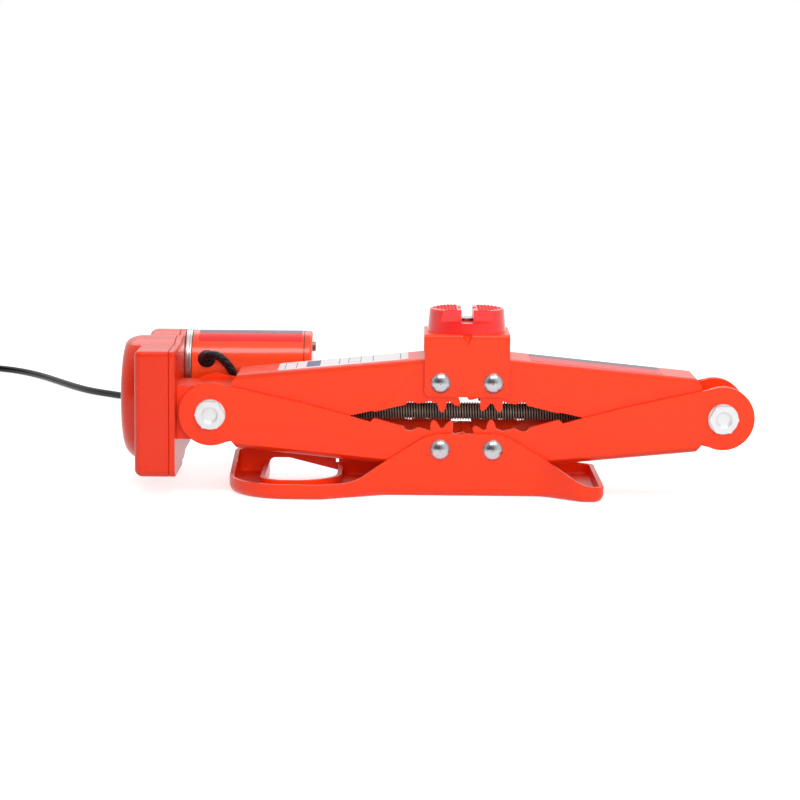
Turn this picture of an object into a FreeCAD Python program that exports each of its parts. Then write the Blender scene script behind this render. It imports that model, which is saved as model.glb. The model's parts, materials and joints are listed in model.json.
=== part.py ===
"""A 12 volt scissor car jack: stamped foot, four geared channel arms, lead screw, gearbox, motor and cord.

Frame: X along the lead screw (gearbox at -X), Y to the back (motor side), Z up.
The origin is on the floor, under the middle of the saddle. The jack is near its lowest position.
"""
import FreeCAD, Part
import math
import os
import re

import Sketcher

doc = FreeCAD.newDocument("electric_car_jack")
sheet = doc.addObject("Spreadsheet::Sheet", "Sizes")

SIZES = {
    # linkage
    "arm_length": 150.0,
    "fold_angle": 8.2,
    "pivot_spacing": 34.0,
    "axis_height": 52.0,
    "upper_width": 48.0,
    "arm_plate": 3.0,
    "side_gap": 0.5,
    "pin_clearance": 0.05,
    "pivot_diameter": 10.0,
    # arm outline
    "ear_radius": 20.5,
    "ear_join": 0.7,
    "hub_join": 0.75,
    "web_start": 20.0,
    "web_depth_outer": 19.4,
    "web_depth_inner": 13.5,
    "web_end_setback": 5.0,
    "edge_height": 12.3,
    "step_setback": 46.0,
    "step_height": 15.5,
    "step_ramp": 3.0,
    "bend_radius": 3.5,
    # gear sectors
    "sector_root": 13.6,
    "sector_tip": 19.2,
    "tooth_spacing": 36.0,
    "tooth_count": 4,
    "left_tooth_angle": -4.0,
    "tooth_root_half": 3.2,
    "tooth_pitch_half": 2.3,
    "tooth_tip_half": 0.9,
    "tooth_tip_round": 0.8,
    "tooth_tip_ease": 0.6,
    # rivets
    "rivet_head_diameter": 13.5,
    "rivet_head_height": 4.0,
    # foot
    "base_left": 154.0,
    "base_right": 88.0,
    "base_half_width": 51.0,
    "base_plate": 3.0,
    "base_left_corner": 40.0,
    "base_back_corner": 8.0,
    "base_right_corner": 8.0,
    "base_bottom_round": 5.0,
    "waist_left": 52.0,
    "waist_right": 48.0,
    "waist_flare_left": 40.0,
    "waist_flare_right": 24.0,
    "waist_round": 16.0,
    "rim_height": 10.0,
    "back_rise": 9.0,
    "back_rise_start": 8.0,
    "flange_above_pivot": 10.4,
    "flange_top_half": 24.0,
    "flange_foot_left": 72.0,
    "flange_foot_right": 76.0,
    "flange_round": 30.0,
    "hole_left": 131.0,
    "hole_length": 47.0,
    "hole_front": 27.0,
    "hole_corner": 14.0,
    "hole_collar": 3.0,
    "hole_collar_height": 6.5,
    "arch_top": 12.4,
    "arch_flat": 13.5,
    "arch_end": 4.0,
    "arch_round": 4.0,
    # saddle
    "saddle_length": 55.0,
    "saddle_plate": 3.0,
    "saddle_drop": 9.0,
    "saddle_rise": 31.6,
    "saddle_corner": 4.0,
    "saddle_bend": 3.0,
    "dart_radius": 3.6,
    "dart_length": 8.0,
    "cap_diameter": 51.0,
    "cap_top_diameter": 48.5,
    "cap_height": 15.0,
    "cap_round": 1.6,
    "cap_flat": 18.3,
    "slot_width": 7.6,
    "slot_depth": 8.0,
    "cap_screw_diameter": 6.0,
    "cap_screw_head": 11.0,
    "cap_screw_head_height": 3.0,
    # trunnions and hinge bolts
    "trunnion_height": 34.8,
    "trunnion_reach": 15.5,
    "nut_diameter": 26.0,
    "bolt_diameter": 10.0,
    "bolt_head_across": 17.0,
    "bolt_head_height": 6.0,
    "bolt_flange_diameter": 19.5,
    "bolt_flange_height": 2.0,
    "bolt_dish_diameter": 11.0,
    "bolt_dish_depth": 1.6,
    "bolt_end_gap": 3.0,
    "head_gap": 0.2,
    # lead screw
    "screw_diameter": 12.0,
    "screw_clearance": 0.08,
    "screw_overhang": 17.0,
    "screw_chamfer": 1.5,
    "washer_diameter": 24.0,
    "washer_thickness": 2.0,
    "collar_diameter": 22.0,
    "collar_length": 9.0,
    # gear train
    "screw_teeth": 29,
    "small_pinion_teeth": 9,
    "low_module": 1.5,
    "wheel_teeth": 63,
    "motor_pinion_teeth": 9,
    "high_module": 1.0,
    "train_angle_low": 10.7,
    "train_angle_high": 22.7,
    "screw_gear_width": 7.0,
    "wheel_width": 6.0,
    "gear_gap": 1.5,
    "axle_diameter": 6.0,
    "axle_seat": 2.0,
    # gearbox
    "ear_clearance": 1.7,
    "cover_thickness": 4.2,
    "block_depth": 22.0,
    "block_front": 37.0,
    "block_back": 20.0,
    "block_below": 40.4,
    "block_above": 42.5,
    "block_round": 5.0,
    "seam_chamfer": 0.8,
    "dome_radius": 43.0,
    "dome_length": 34.0,
    "dome_round": 12.0,
    "motor_block_radius": 31.0,
    "motor_block_depth": 20.0,
    "motor_block_foot": 18.0,
    "chamber_gap": 1.0,
    "cover_screw_diameter": 4.0,
    "cover_screw_head": 7.5,
    "cover_screw_head_height": 3.0,
    "cover_screw_inset": 8.0,
    "cover_screw_back": 15.5,
    "cover_screw_up": 17.0,
    "trunnion_screw_diameter": 5.0,
    "trunnion_screw_length": 14.0,
    "trunnion_screw_head": 8.5,
    "trunnion_screw_head_height": 3.0,
    "trunnion_screw_pitch": 24.0,
    # motor
    "ring_diameter": 57.0,
    "ring_thickness": 4.4,
    "can_diameter": 52.0,
    "can_length": 75.5,
    "can_wall": 2.0,
    "end_cap_thickness": 5.3,
    "end_cap_round": 2.0,
    "shaft_diameter": 4.0,
    "bush_diameter": 10.0,
    "armature_diameter": 36.0,
    "armature_length": 46.0,
    "armature_start": 14.0,
    "magnet_thickness": 5.0,
    "magnet_seat": 0.1,
    # cord
    "cord_diameter": 5.6,
    "cord_gap": 0.3,
    "lead_start": 2.0,
    "grommet_diameter": 12.0,
    "grommet_flange_height": 3.0,
    "grommet_wall": 1.0,
    "grommet_along": 10.6,
    "grommet_angle": 21.0,
    "coil_radius": 31.0,
    "coil_columns": 3,
    "coil_layers": 4,
    "coil_round": 4.0,
    "tie_width": 10.0,
    "tie_thickness": 1.2,
    "plug_diameter": 24.0,
    "plug_length": 62.0,
    "plug_nose_diameter": 20.0,
    "plug_nose_length": 30.0,
    "plug_tip_diameter": 6.0,
    "plug_tip_length": 7.0,
    "plug_draft": 1.0,
    "plug_setback": 23.0,
    "plug_lead_length": 18.0,
    "relief_wall": 0.8,
}

for row, (alias, number) in enumerate(SIZES.items(), 1):
    sheet.set(f"A{row}", alias)
    sheet.set(f"B{row}", str(number))
    sheet.setAlias(f"B{row}", alias)
doc.recompute()

# Places that several pieces share, as formulas of the sizes
OUTER_X = "(pivot_spacing / 2 + arm_length * cos(fold_angle))"
INNER_RISE = "(arm_length * sin(fold_angle))"
LOWER_Z = f"(axis_height - {INNER_RISE})"
UPPER_Z = f"(axis_height + {INNER_RISE})"
UPPER_HALF = "(upper_width / 2)"
LOWER_HALF = f"({UPPER_HALF} + side_gap + arm_plate)"
FLANGE_HALF = f"({LOWER_HALF} + side_gap + base_plate)"
SADDLE_HALF = f"({UPPER_HALF} + side_gap + saddle_plate)"
TRUNNION_HALF = f"({UPPER_HALF} - arm_plate - side_gap)"
SADDLE_TOP = f"({UPPER_Z} + saddle_rise)"
FLANGE_TOP = f"({LOWER_Z} + flange_above_pivot)"
PIN_HOLE = "(pivot_diameter / 2 + pin_clearance)"
BOLT_HOLE = "(bolt_diameter / 2 + pin_clearance)"
SCREW_HOLE = "(screw_diameter / 2 + screw_clearance)"
GEAR_FACE_X = f"(-{OUTER_X} - ear_radius - ear_clearance)"
SEAM_X = f"({GEAR_FACE_X} - cover_thickness)"
LOW_DISTANCE = "((screw_teeth + small_pinion_teeth) * low_module / 2)"
HIGH_DISTANCE = "((wheel_teeth + motor_pinion_teeth) * high_module / 2)"
WHEEL_Y = f"({LOW_DISTANCE} * cos(train_angle_low))"
WHEEL_Z = f"(axis_height + {LOW_DISTANCE} * sin(train_angle_low))"
MOTOR_Y = f"({WHEEL_Y} + {HIGH_DISTANCE} * cos(train_angle_high))"
MOTOR_Z = f"({WHEEL_Z} + {HIGH_DISTANCE} * sin(train_angle_high))"
SCREW_GEAR_X = f"({SEAM_X} - gear_gap - screw_gear_width)"
WHEEL_X = f"({SCREW_GEAR_X} - gear_gap - wheel_width)"
CAN_X = f"({GEAR_FACE_X} + ring_thickness)"
END_CAP_X = f"({CAN_X} + can_length)"

nodes = []
ALIAS = re.compile(r"\b[a-z_]+\b")
AXES = {
    "X": FreeCAD.Rotation(FreeCAD.Vector(0, 1, 0), 90),
    "Y": FreeCAD.Rotation(FreeCAD.Vector(1, 0, 0), -90),
    "-Y": FreeCAD.Rotation(FreeCAD.Vector(1, 0, 0), 90),
    "Z": FreeCAD.Rotation(),
}


def formula(text):
    """The text with each size written as a cell of the sheet."""
    def cell(word):
        return "Sizes." + word.group() if word.group() in SIZES else word.group()
    return ALIAS.sub(cell, str(text))


def value(text):
    """The number that a formula of the sizes gives."""
    return float(sheet.evalExpression(formula(text)))


def bind(item, **formulas):
    """Bind properties to formulas; a double underscore stands for a dot."""
    for name, text in formulas.items():
        item.setExpression(name.replace("__", "."), formula(text))
    return item


def place(item, at, axis="Z"):
    """Turn an object's own Z to an axis and bind its position."""
    item.Placement = FreeCAD.Placement(FreeCAD.Vector(), AXES[axis])
    return bind(item, Placement__Base__x=at[0], Placement__Base__y=at[1], Placement__Base__z=at[2])


def cylinder(name, radius, length, at, axis="X"):
    item = doc.addObject("Part::Cylinder", name)
    return place(bind(item, Radius=radius, Height=length), at, axis)


def cone(name, bottom, top, length, at, axis="Z"):
    item = doc.addObject("Part::Cone", name)
    return place(bind(item, Radius1=bottom, Radius2=top, Height=length), at, axis)


def box(name, low, size):
    """A box from its lowest corner."""
    item = doc.addObject("Part::Box", name)
    return place(bind(item, Length=size[0], Width=size[1], Height=size[2]), low)


def dome(name, diameter, height, at, axis):
    """A round head: the cap of a sphere with its flat side at the given place."""
    item = doc.addObject("Part::Sphere", name)
    radius = f"(({diameter})^2 / 8 / ({height}) + ({height}) / 2)"
    bind(item, Radius=radius, Angle1=f"asin(({radius} - ({height})) / {radius})")
    sign = -1 if axis == "-Y" else 1
    return place(item, (at[0], f"{at[1]} - {sign} * ({radius} - ({height}))", at[2]), axis)


def fuse(name, items):
    item = doc.addObject("Part::MultiFuse", name)
    item.Shapes = items
    item.Refine = True
    return item


def cut(name, base, tools):
    """Take the tools from a base, one after the other."""
    for tool in tools:
        item = doc.addObject("Part::Cut", name + "_cut")
        item.Base = base
        item.Tool = tool
        base = item
    return item


def group(name, items):
    item = doc.addObject("Part::Compound", name)
    item.Links = items
    return item


def solid(name, shape):
    """An object for a shape that no sketch or primitive gives."""
    item = doc.addObject("Part::Feature", name)
    item.Shape = shape
    return item


def node(label, item):
    """Keep an object as one of the jack's pieces."""
    item.Label = label
    nodes.append(item)
    return item


def edges_at(item, test, along=None):
    """Names of the edges, those along one axis if it is given, whose ends and middle all pass a test."""
    names = []
    for number, edge in enumerate(item.Shape.Edges, 1):
        middle = (edge.FirstParameter + edge.LastParameter) / 2
        if along is not None and not near(abs(edge.tangentAt(middle)[along]), 1, 1e-6):
            continue
        points = [vertex.Point for vertex in edge.Vertexes] + [edge.valueAt(middle)]
        if all(test(point) for point in points):
            names.append(f"Edge{number}")
    return names


def rounded(name, base, radius, test, along=None, kind="Fillet"):
    """A Part fillet, or chamfer, on the edges that pass a test."""
    doc.recompute()
    item = doc.addObject("Part::" + kind, name)
    item.Base = base
    size = value(radius)
    item.Edges = [(int(edge[4:]), size, size) for edge in edges_at(base, test, along)]
    return item


def near(number, target, slack=0.01):
    return abs(number - target) < slack


# Sketch features of one body

def plane_of(body, role):
    return next(feature for feature in body.Origin.OriginFeatures if feature.Role == role)


def sketch(body, name, role):
    item = body.newObject("Sketcher::SketchObject", name)
    item.AttachmentSupport = (plane_of(body, role), [""])
    item.MapMode = "FlatFace"
    return item


def polygon(body, name, role, points):
    """A closed outline of straight edges, each corner bound to two formulas."""
    item = sketch(body, name, role)
    corners = [FreeCAD.Vector(value(x), value(y), 0) for x, y in points]
    count = len(corners)
    for i in range(count):
        item.addGeometry(Part.LineSegment(corners[i], corners[(i + 1) % count]))
    for i in range(count):
        item.addConstraint(Sketcher.Constraint("Coincident", i, 2, (i + 1) % count, 1))
    for i, corner in enumerate(points):
        for kind, text, number in zip(("DistanceX", "DistanceY"), corner, corners[i]):
            row = item.addConstraint(Sketcher.Constraint(kind, -1, 1, i, 1, number))
            item.setExpression(f"Constraints[{row}]", formula(text))
    return item


def circle(body, name, role, centre, radius):
    """A circle bound to formulas for its centre and radius."""
    item = sketch(body, name, role)
    middle = FreeCAD.Vector(value(centre[0]), value(centre[1]), 0)
    item.addGeometry(Part.Circle(middle, FreeCAD.Vector(0, 0, 1), value(radius)))
    for kind, text, number in zip(("DistanceX", "DistanceY"), centre, middle):
        row = item.addConstraint(Sketcher.Constraint(kind, -1, 1, 0, 3, number))
        item.setExpression(f"Constraints[{row}]", formula(text))
    row = item.addConstraint(Sketcher.Constraint("Radius", 0, value(radius)))
    item.setExpression(f"Constraints[{row}]", formula(radius))
    return item


def feature(body, kind, profile, length, symmetric=False):
    """A Pad or Pocket of a sketch."""
    item = body.newObject("PartDesign::" + kind, profile.Name + "_" + kind.lower())
    item.Profile = profile
    if symmetric:
        item.SideType = "Symmetric"
    bind(item, Length=length)
    body.Tip = item
    return item


def round_edges(body, name, radius, test, along=None):
    """A Fillet on the edges of the tip that pass a test."""
    doc.recompute()
    tip = body.Tip
    item = body.newObject("PartDesign::Fillet", name)
    item.Base = (tip, edges_at(tip, test, along))
    bind(item, Radius=radius)
    body.Tip = item
    return item


# Arms: folded channels with an ear at the outer pivot and a gear sector at the inner pivot.
# Own frame: the outer pivot is the origin, "along" points to the inner pivot, "inward" to the opposite arm.

def arm(label, half_width, along, inward, first_tooth):
    body = doc.addObject("PartDesign::Body", label)

    def points(rows):
        return [(f"{along} * ({x})", f"{inward} * ({y})") for x, y in rows]

    width = f"2 * {half_width}"
    side = polygon(body, label + "_side", "XZ_Plane", points([
        ("0", "ear_radius - pin_clearance"),
        ("arm_length - step_setback", "edge_height"),
        ("arm_length - step_setback + step_ramp", "step_height"),
        ("arm_length - step_setback / 2", "edge_height"),
        ("arm_length", "sector_root * hub_join"),
        ("arm_length", "-web_depth_inner"),
        ("web_start", "-web_depth_outer"),
        ("web_start * ear_join", "-web_depth_outer * ear_join"),
        ("0", "-ear_radius * ear_join"),
    ]))
    feature(body, "Pad", side, width, symmetric=True)
    ear = circle(body, label + "_ear", "XZ_Plane", ("0", "0"), "ear_radius")
    feature(body, "Pad", ear, width, symmetric=True)
    pivot = (f"{along} * arm_length", "0")
    hub = circle(body, label + "_hub", "XZ_Plane", pivot, "sector_root")
    feature(body, "Pad", hub, width, symmetric=True)
    for number in range(int(value("tooth_count"))):
        turn = f"({first_tooth} + {number} * tooth_spacing + fold_angle)"
        profile = [
            ("0", "-tooth_root_half"),
            ("sector_root", "-tooth_root_half"),
            ("pivot_spacing / 2", "-tooth_pitch_half"),
            ("sector_tip - tooth_tip_round", "-tooth_tip_half - tooth_tip_ease"),
            ("sector_tip", "-tooth_tip_half"),
            ("sector_tip", "tooth_tip_half"),
            ("sector_tip - tooth_tip_round", "tooth_tip_half + tooth_tip_ease"),
            ("pivot_spacing / 2", "tooth_pitch_half"),
            ("sector_root", "tooth_root_half"),
            ("0", "tooth_root_half"),
        ]
        turned = [(f"arm_length + ({out}) * cos({turn}) - ({across}) * sin({turn})",
                   f"({out}) * sin({turn}) + ({across}) * cos({turn})") for out, across in profile]
        tooth = polygon(body, f"{label}_tooth{number + 1}", "XZ_Plane", points(turned))
        feature(body, "Pad", tooth, width, symmetric=True)
    start, end = value("web_start"), value("arm_length")
    slope = (value("web_depth_inner") - value("web_depth_outer")) / (end - start)

    def on_bend(point):
        x, depth = along * point.x, -inward * point.z
        flat = value("web_depth_outer") + slope * (x - start)
        return near(depth, flat) and near(abs(point.y), value(half_width)) and start - 1 < x < end + 1

    round_edges(body, label + "_bend", "bend_radius", on_bend)
    far = "arm_length + 2 * sector_tip"
    inner_depth_start = "-web_depth_outer + arm_plate"
    inner_depth_end = "-web_depth_inner + arm_plate"
    web_end = "arm_length - web_end_setback"
    channel = polygon(body, label + "_channel", "XZ_Plane", points([
        ("-2 * ear_radius", "-2 * ear_radius"),
        ("web_start", "-2 * ear_radius"),
        ("web_start", inner_depth_start),
        (web_end, inner_depth_end),
        (web_end, "-2 * ear_radius"),
        (far, "-2 * ear_radius"),
        (far, "2 * ear_radius"),
        ("-2 * ear_radius", "2 * ear_radius"),
    ]))
    feature(body, "Pocket", channel, f"2 * ({half_width} - arm_plate)", symmetric=True)
    ear_hole = circle(body, label + "_ear_hole", "XZ_Plane", ("0", "0"), BOLT_HOLE)
    feature(body, "Pocket", ear_hole, width, symmetric=True)
    hub_hole = circle(body, label + "_hub_hole", "XZ_Plane", pivot, PIN_HOLE)
    feature(body, "Pocket", hub_hole, width, symmetric=True)
    body.Placement = FreeCAD.Placement(FreeCAD.Vector(), FreeCAD.Rotation(FreeCAD.Vector(0, 1, 0), 1))
    bind(body, Placement__Base__x=f"-{along} * {OUTER_X}", Placement__Base__z="axis_height",
         Placement__Rotation__Angle=f"{along * inward} * fold_angle")
    return node(label, body)


# The sectors of a pair mesh: the right one is half a tooth behind the left one.
RIGHT_TOOTH = "(left_tooth_angle - tooth_spacing / 2)"
arm("lower_left_arm", LOWER_HALF, 1, 1, "left_tooth_angle")
arm("lower_right_arm", LOWER_HALF, -1, 1, RIGHT_TOOTH)
arm("upper_left_arm", UPPER_HALF, 1, -1, RIGHT_TOOTH)
arm("upper_right_arm", UPPER_HALF, -1, -1, "left_tooth_angle")


# Foot: a stamped tray, waisted between its flanges, whose wall follows a bell-shaped edge.
# At the left end the wall rises to the back, and a hand hole runs out under it.

def foot_tray():
    body = doc.addObject("PartDesign::Body", "tray")
    front = [
        ("-base_left", "-base_half_width"),
        ("-waist_left - waist_flare_left", "-base_half_width"),
        ("-waist_left", f"-{FLANGE_HALF}"),
        ("waist_right", f"-{FLANGE_HALF}"),
        ("waist_right + waist_flare_right", "-base_half_width"),
        ("base_right", "-base_half_width"),
    ]
    back = [(x, f"-({y})") for x, y in reversed(front)]
    plan = polygon(body, "tray_plan", "XY_Plane", front + back)
    feature(body, "Pad", plan, f"{FLANGE_TOP} + base_plate")
    corners = (
        ("front_corner", "base_left_corner", ("-base_left",), -1),
        ("back_corner", "base_back_corner", ("-base_left",), 1),
        ("right_corners", "base_right_corner", ("base_right",), 0),
        ("waist", "waist_round", [x for x, y in front[1:5]], 0),
    )
    for name, radius, places, side in corners:
        stations = [value(x) for x in places]

        def on_corner(point):
            return side * point.y >= 0 and any(near(point.x, x) for x in stations)

        round_edges(body, name, radius, on_corner, along=2)
    round_edges(body, "bottom_round", "base_bottom_round", lambda point: near(point.z, 0))
    doc.recompute()
    tip = body.Tip
    top = max(range(len(tip.Shape.Faces)), key=lambda i: tip.Shape.Faces[i].CenterOfMass.z)
    wall = body.newObject("PartDesign::Thickness", "tray_wall")
    wall.Base = (tip, [f"Face{top + 1}"])
    wall.Reversed = True
    bind(wall, Value="base_plate")
    body.Tip = wall
    return body


def foot_edge():
    """The side view of the wall's upper edge: a low rim that swells to the flanges."""
    body = doc.addObject("PartDesign::Body", "wall_edge")
    beyond = "2 * base_plate"
    side = polygon(body, "wall_edge_side", "XZ_Plane", [
        (f"-base_left - {beyond}", f"-{beyond}"),
        (f"base_right + {beyond}", f"-{beyond}"),
        (f"base_right + {beyond}", "rim_height"),
        ("flange_foot_right", "rim_height"),
        ("flange_top_half", FLANGE_TOP),
        ("-flange_top_half", FLANGE_TOP),
        ("-flange_foot_left", "rim_height"),
        (f"-base_left - {beyond}", "rim_height"),
    ])
    feature(body, "Pad", side, f"2 * base_half_width + {beyond}", symmetric=True)
    bends = ("flange_foot_right", "flange_top_half", "-flange_top_half", "-flange_foot_left")
    stations = [value(x) for x in bends]
    round_edges(body, "bell_round", "flange_round",
                lambda point: any(near(point.x, x) for x in stations), along=1)
    return body


def foot_rise():
    """The end view of the left wall's upper edge, which slopes up to the back."""
    body = doc.addObject("PartDesign::Body", "wall_rise")
    beyond = "2 * base_plate"
    end = polygon(body, "wall_rise_end", "YZ_Plane", [
        ("-back_rise_start", f"-{beyond}"),
        (f"base_half_width + {beyond}", f"-{beyond}"),
        (f"base_half_width + {beyond}", "rim_height + back_rise"),
        ("base_half_width", "rim_height + back_rise"),
        ("-back_rise_start", "rim_height"),
    ])
    feature(body, "Pad", end, f"base_left + {beyond} - flange_top_half")
    return bind(body, Placement__Base__x=f"-base_left - {beyond}")


HOLE_RIGHT = "(hole_length - hole_left)"


def hand_hole(name, grow, back, low, height):
    """A prism with straight sides that is rounded at the front."""
    body = doc.addObject("PartDesign::Body", name)
    left, right, front = f"-hole_left - {grow}", f"{HOLE_RIGHT} + {grow}", f"-hole_front - {grow}"
    plan = polygon(body, name + "_plan", "XY_Plane",
                   [(left, front), (right, front), (right, back), (left, back)])
    feature(body, "Pad", plan, height)
    near_edge = value(front)
    for side, radius in ((left, "hole_corner"), (right, "hole_front")):
        corner = value(side)
        round_edges(body, name + "_round", f"{radius} + {grow}",
                    lambda point: near(point.x, corner) and near(point.y, near_edge), along=2)
    return bind(body, Placement__Base__z=low)


def back_arch():
    """The opening under the back wall, seen from the front."""
    body = doc.addObject("PartDesign::Body", "back_arch")
    side = polygon(body, "back_arch_side", "XZ_Plane", [
        ("-hole_left", "-base_plate"),
        (HOLE_RIGHT, "-base_plate"),
        (HOLE_RIGHT, "arch_end"),
        ("arch_flat - hole_left", "arch_top"),
        ("-hole_left", "arch_top"),
    ])
    feature(body, "Pad", side, "4 * base_plate", symmetric=True)
    top = value("arch_top")
    round_edges(body, "arch_rounds", "arch_round", lambda point: near(point.z, top), along=1)
    return bind(body, Placement__Base__y="base_half_width")


wall = doc.addObject("Part::Common", "foot_wall")
wall.Base = foot_tray()
wall.Tool = fuse("wall_form", [foot_edge(), foot_rise()])
collar = hand_hole("hole_collar", "hole_collar", "base_half_width - base_plate / 2",
                   "base_plate / 2", "base_plate / 2 + hole_collar_height")
foot_cuts = [
    hand_hole("hand_hole", "0", "base_half_width - base_plate",
              "-base_plate", "3 * base_plate + hole_collar_height"),
    back_arch(),
]
for side in (-1, 1):
    foot_cuts.append(cylinder("foot_pivot_hole", PIN_HOLE, f"4 * {FLANGE_HALF}",
                              (f"{side} * pivot_spacing / 2", f"-2 * {FLANGE_HALF}", LOWER_Z), "Y"))
node("base_plate", cut("base_plate", fuse("foot_blank", [wall, collar]), foot_cuts))


# Rivets of the inner pivots, with domed heads on both sides

def rivets(label, half_width, height):
    items = []
    for side in (-1, 1):
        x = f"{side} * pivot_spacing / 2"
        face, rear = (x, f"-{half_width}", height), (x, half_width, height)
        shank = cylinder("rivet_shank", "pivot_diameter / 2", f"2 * {half_width}", face, "Y")
        back = dome("rivet_back", "rivet_head_diameter", "rivet_head_height", rear, "Y")
        front = dome("rivet_front", "rivet_head_diameter", "rivet_head_height", face, "-Y")
        items.append(fuse("rivet", [shank, back, front]))
    return node(label, group(label, items))


rivets("base_rivets", FLANGE_HALF, LOWER_Z)
rivets("saddle_rivets", SADDLE_HALF, UPPER_Z)


# Saddle: an inverted channel on the upper arms, and a round slotted cap screwed on it

CAP_BORE = "(cap_screw_diameter / 2 + pin_clearance)"


def saddle_bracket():
    body = doc.addObject("PartDesign::Body", "saddle_channel")
    low = f"({UPPER_Z} - saddle_drop)"
    inner = f"({SADDLE_HALF} - saddle_plate)"
    section = polygon(body, "saddle_section", "YZ_Plane", [
        (f"-{SADDLE_HALF}", low),
        (f"-{inner}", low),
        (f"-{inner}", f"{SADDLE_TOP} - saddle_plate"),
        (inner, f"{SADDLE_TOP} - saddle_plate"),
        (inner, low),
        (SADDLE_HALF, low),
        (SADDLE_HALF, SADDLE_TOP),
        (f"-{SADDLE_HALF}", SADDLE_TOP),
    ])
    feature(body, "Pad", section, "saddle_length", symmetric=True)
    top, bottom, end = value(SADDLE_TOP), value(low), value("saddle_length / 2")
    half = value(SADDLE_HALF)
    round_edges(body, "saddle_bends", "saddle_bend",
                lambda point: near(point.z, top) and near(abs(point.y), half), along=0)
    round_edges(body, "saddle_corners", "saddle_corner",
                lambda point: near(point.z, bottom) and near(abs(point.x), end), along=1)
    for side in (-1, 1):
        pivot = (f"{side} * pivot_spacing / 2", UPPER_Z)
        hole = circle(body, f"saddle_hole{side + 1}", "XZ_Plane", pivot, PIN_HOLE)
        feature(body, "Pocket", hole, f"4 * {SADDLE_HALF}", symmetric=True)
    screw_hole = circle(body, "saddle_screw_hole", "XY_Plane", ("0", "0"), CAP_BORE)
    feature(body, "Pocket", screw_hole, f"4 * {SADDLE_TOP}", symmetric=True)
    darts = [cone("saddle_dart", "0", "dart_radius", "dart_length",
                  ("0", f"{side} * {SADDLE_HALF}", f"{SADDLE_TOP} - dart_length")) for side in (-1, 1)]
    return node("saddle_bracket", cut("saddle_bracket", body, darts))


def saddle_cap():
    blank = cone("cap_blank", "cap_diameter / 2", "cap_top_diameter / 2", "cap_height",
                 ("0", "0", SADDLE_TOP))
    top = value(f"{SADDLE_TOP} + cap_height")
    soft = rounded("cap_soft", blank, "cap_round", lambda point: near(point.z, top))
    floor = f"({SADDLE_TOP} + cap_height - slot_depth)"
    slot = box("cap_slot", ("-slot_width / 2", "-cap_diameter", floor),
               ("slot_width", "2 * cap_diameter", "2 * slot_depth"))
    flats = [box("cap_flat", ("-cap_diameter", low, floor),
                 ("2 * cap_diameter", "cap_diameter", "2 * slot_depth"))
             for low in ("cap_flat", "-cap_flat - cap_diameter")]
    seat = f"({floor} - cap_screw_head_height / 2)"
    well = cylinder("cap_well", "cap_screw_head / 2 + side_gap", "cap_height", ("0", "0", seat), "Z")
    under = ("0", "0", f"{SADDLE_TOP} - cap_height")
    bore = cylinder("cap_bore", CAP_BORE, "2 * cap_height", under, "Z")
    node("saddle_cap", cut("saddle_cap", soft, [slot, well, bore] + flats))
    head = cylinder("cap_screw_head_disc", "cap_screw_head / 2", "cap_screw_head_height",
                    ("0", "0", seat), "Z")
    foot = f"({SADDLE_TOP} - 3 * saddle_plate)"
    shank = cylinder("cap_screw_shank", "cap_screw_diameter / 2", f"{seat} - {foot}",
                     ("0", "0", foot), "Z")
    return node("saddle_screw", fuse("saddle_screw", [head, shank]))


saddle_bracket()
saddle_cap()


# Trunnions between the ears, and the hinge bolts screwed into them from both sides

BOLT_END = "(screw_diameter / 2 + screw_clearance + bolt_end_gap)"
HEAD_SEAT = f"({LOWER_HALF} + head_gap)"


def bolt_holes(x):
    depth = f"{LOWER_HALF} - {BOLT_END}"
    return [cylinder("bolt_hole", BOLT_HOLE, depth, (x, f"{side} * {BOLT_END}", "axis_height"), axis)
            for side, axis in ((1, "Y"), (-1, "-Y"))]


def screw_bore(name):
    return cylinder(name, SCREW_HOLE, f"4 * {OUTER_X}", (f"-2 * {OUTER_X}", "0", "axis_height"))


def hinge_bolts(label, x):
    """Two flanged hex bolts with dished heads."""
    items = []
    for side, axis in ((1, "Y"), (-1, "-Y")):
        def at(distance):
            return (x, f"{side} * ({distance})", "axis_height")
        shank = cylinder("bolt_shank", "bolt_diameter / 2", f"{HEAD_SEAT} - {BOLT_END}", at(BOLT_END), axis)
        flange = cylinder("bolt_flange", "bolt_flange_diameter / 2", "bolt_flange_height",
                          at(HEAD_SEAT), axis)
        hexagon = doc.addObject("Part::Prism", "bolt_hexagon")
        bind(hexagon, Circumradius="bolt_head_across / sqrt(3)", Height="bolt_head_height")
        place(hexagon, at(HEAD_SEAT), axis)
        crown = f"{HEAD_SEAT} + bolt_head_height - bolt_dish_depth"
        dish = cone("bolt_dish", "bolt_dish_diameter / 2 - bolt_dish_depth", "bolt_dish_diameter / 2",
                    "bolt_dish_depth", at(crown), axis)
        items.append(cut("bolt", fuse("bolt_blank", [shank, flange, hexagon]), [dish]))
    return node(label, group(label, items))


def trunnion_screw_places():
    half = "trunnion_screw_pitch / 2"
    return [(f"{side} * {half}", f"axis_height + {level} * {half}")
            for side in (-1, 1) for level in (-1, 1)]


def left_trunnion():
    block = box("left_block", (GEAR_FACE_X, f"-{TRUNNION_HALF}", "axis_height - trunnion_height / 2"),
                (f"trunnion_reach - {OUTER_X} - {GEAR_FACE_X}", f"2 * {TRUNNION_HALF}", "trunnion_height"))
    holes = [screw_bore("left_bore")] + bolt_holes(f"-{OUTER_X}")
    for y, z in trunnion_screw_places():
        holes.append(cylinder("tapped_hole", "trunnion_screw_diameter / 2 + pin_clearance",
                              "trunnion_screw_length + side_gap", (GEAR_FACE_X, y, z)))
    return node("left_trunnion", cut("left_trunnion", block, holes))


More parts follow.
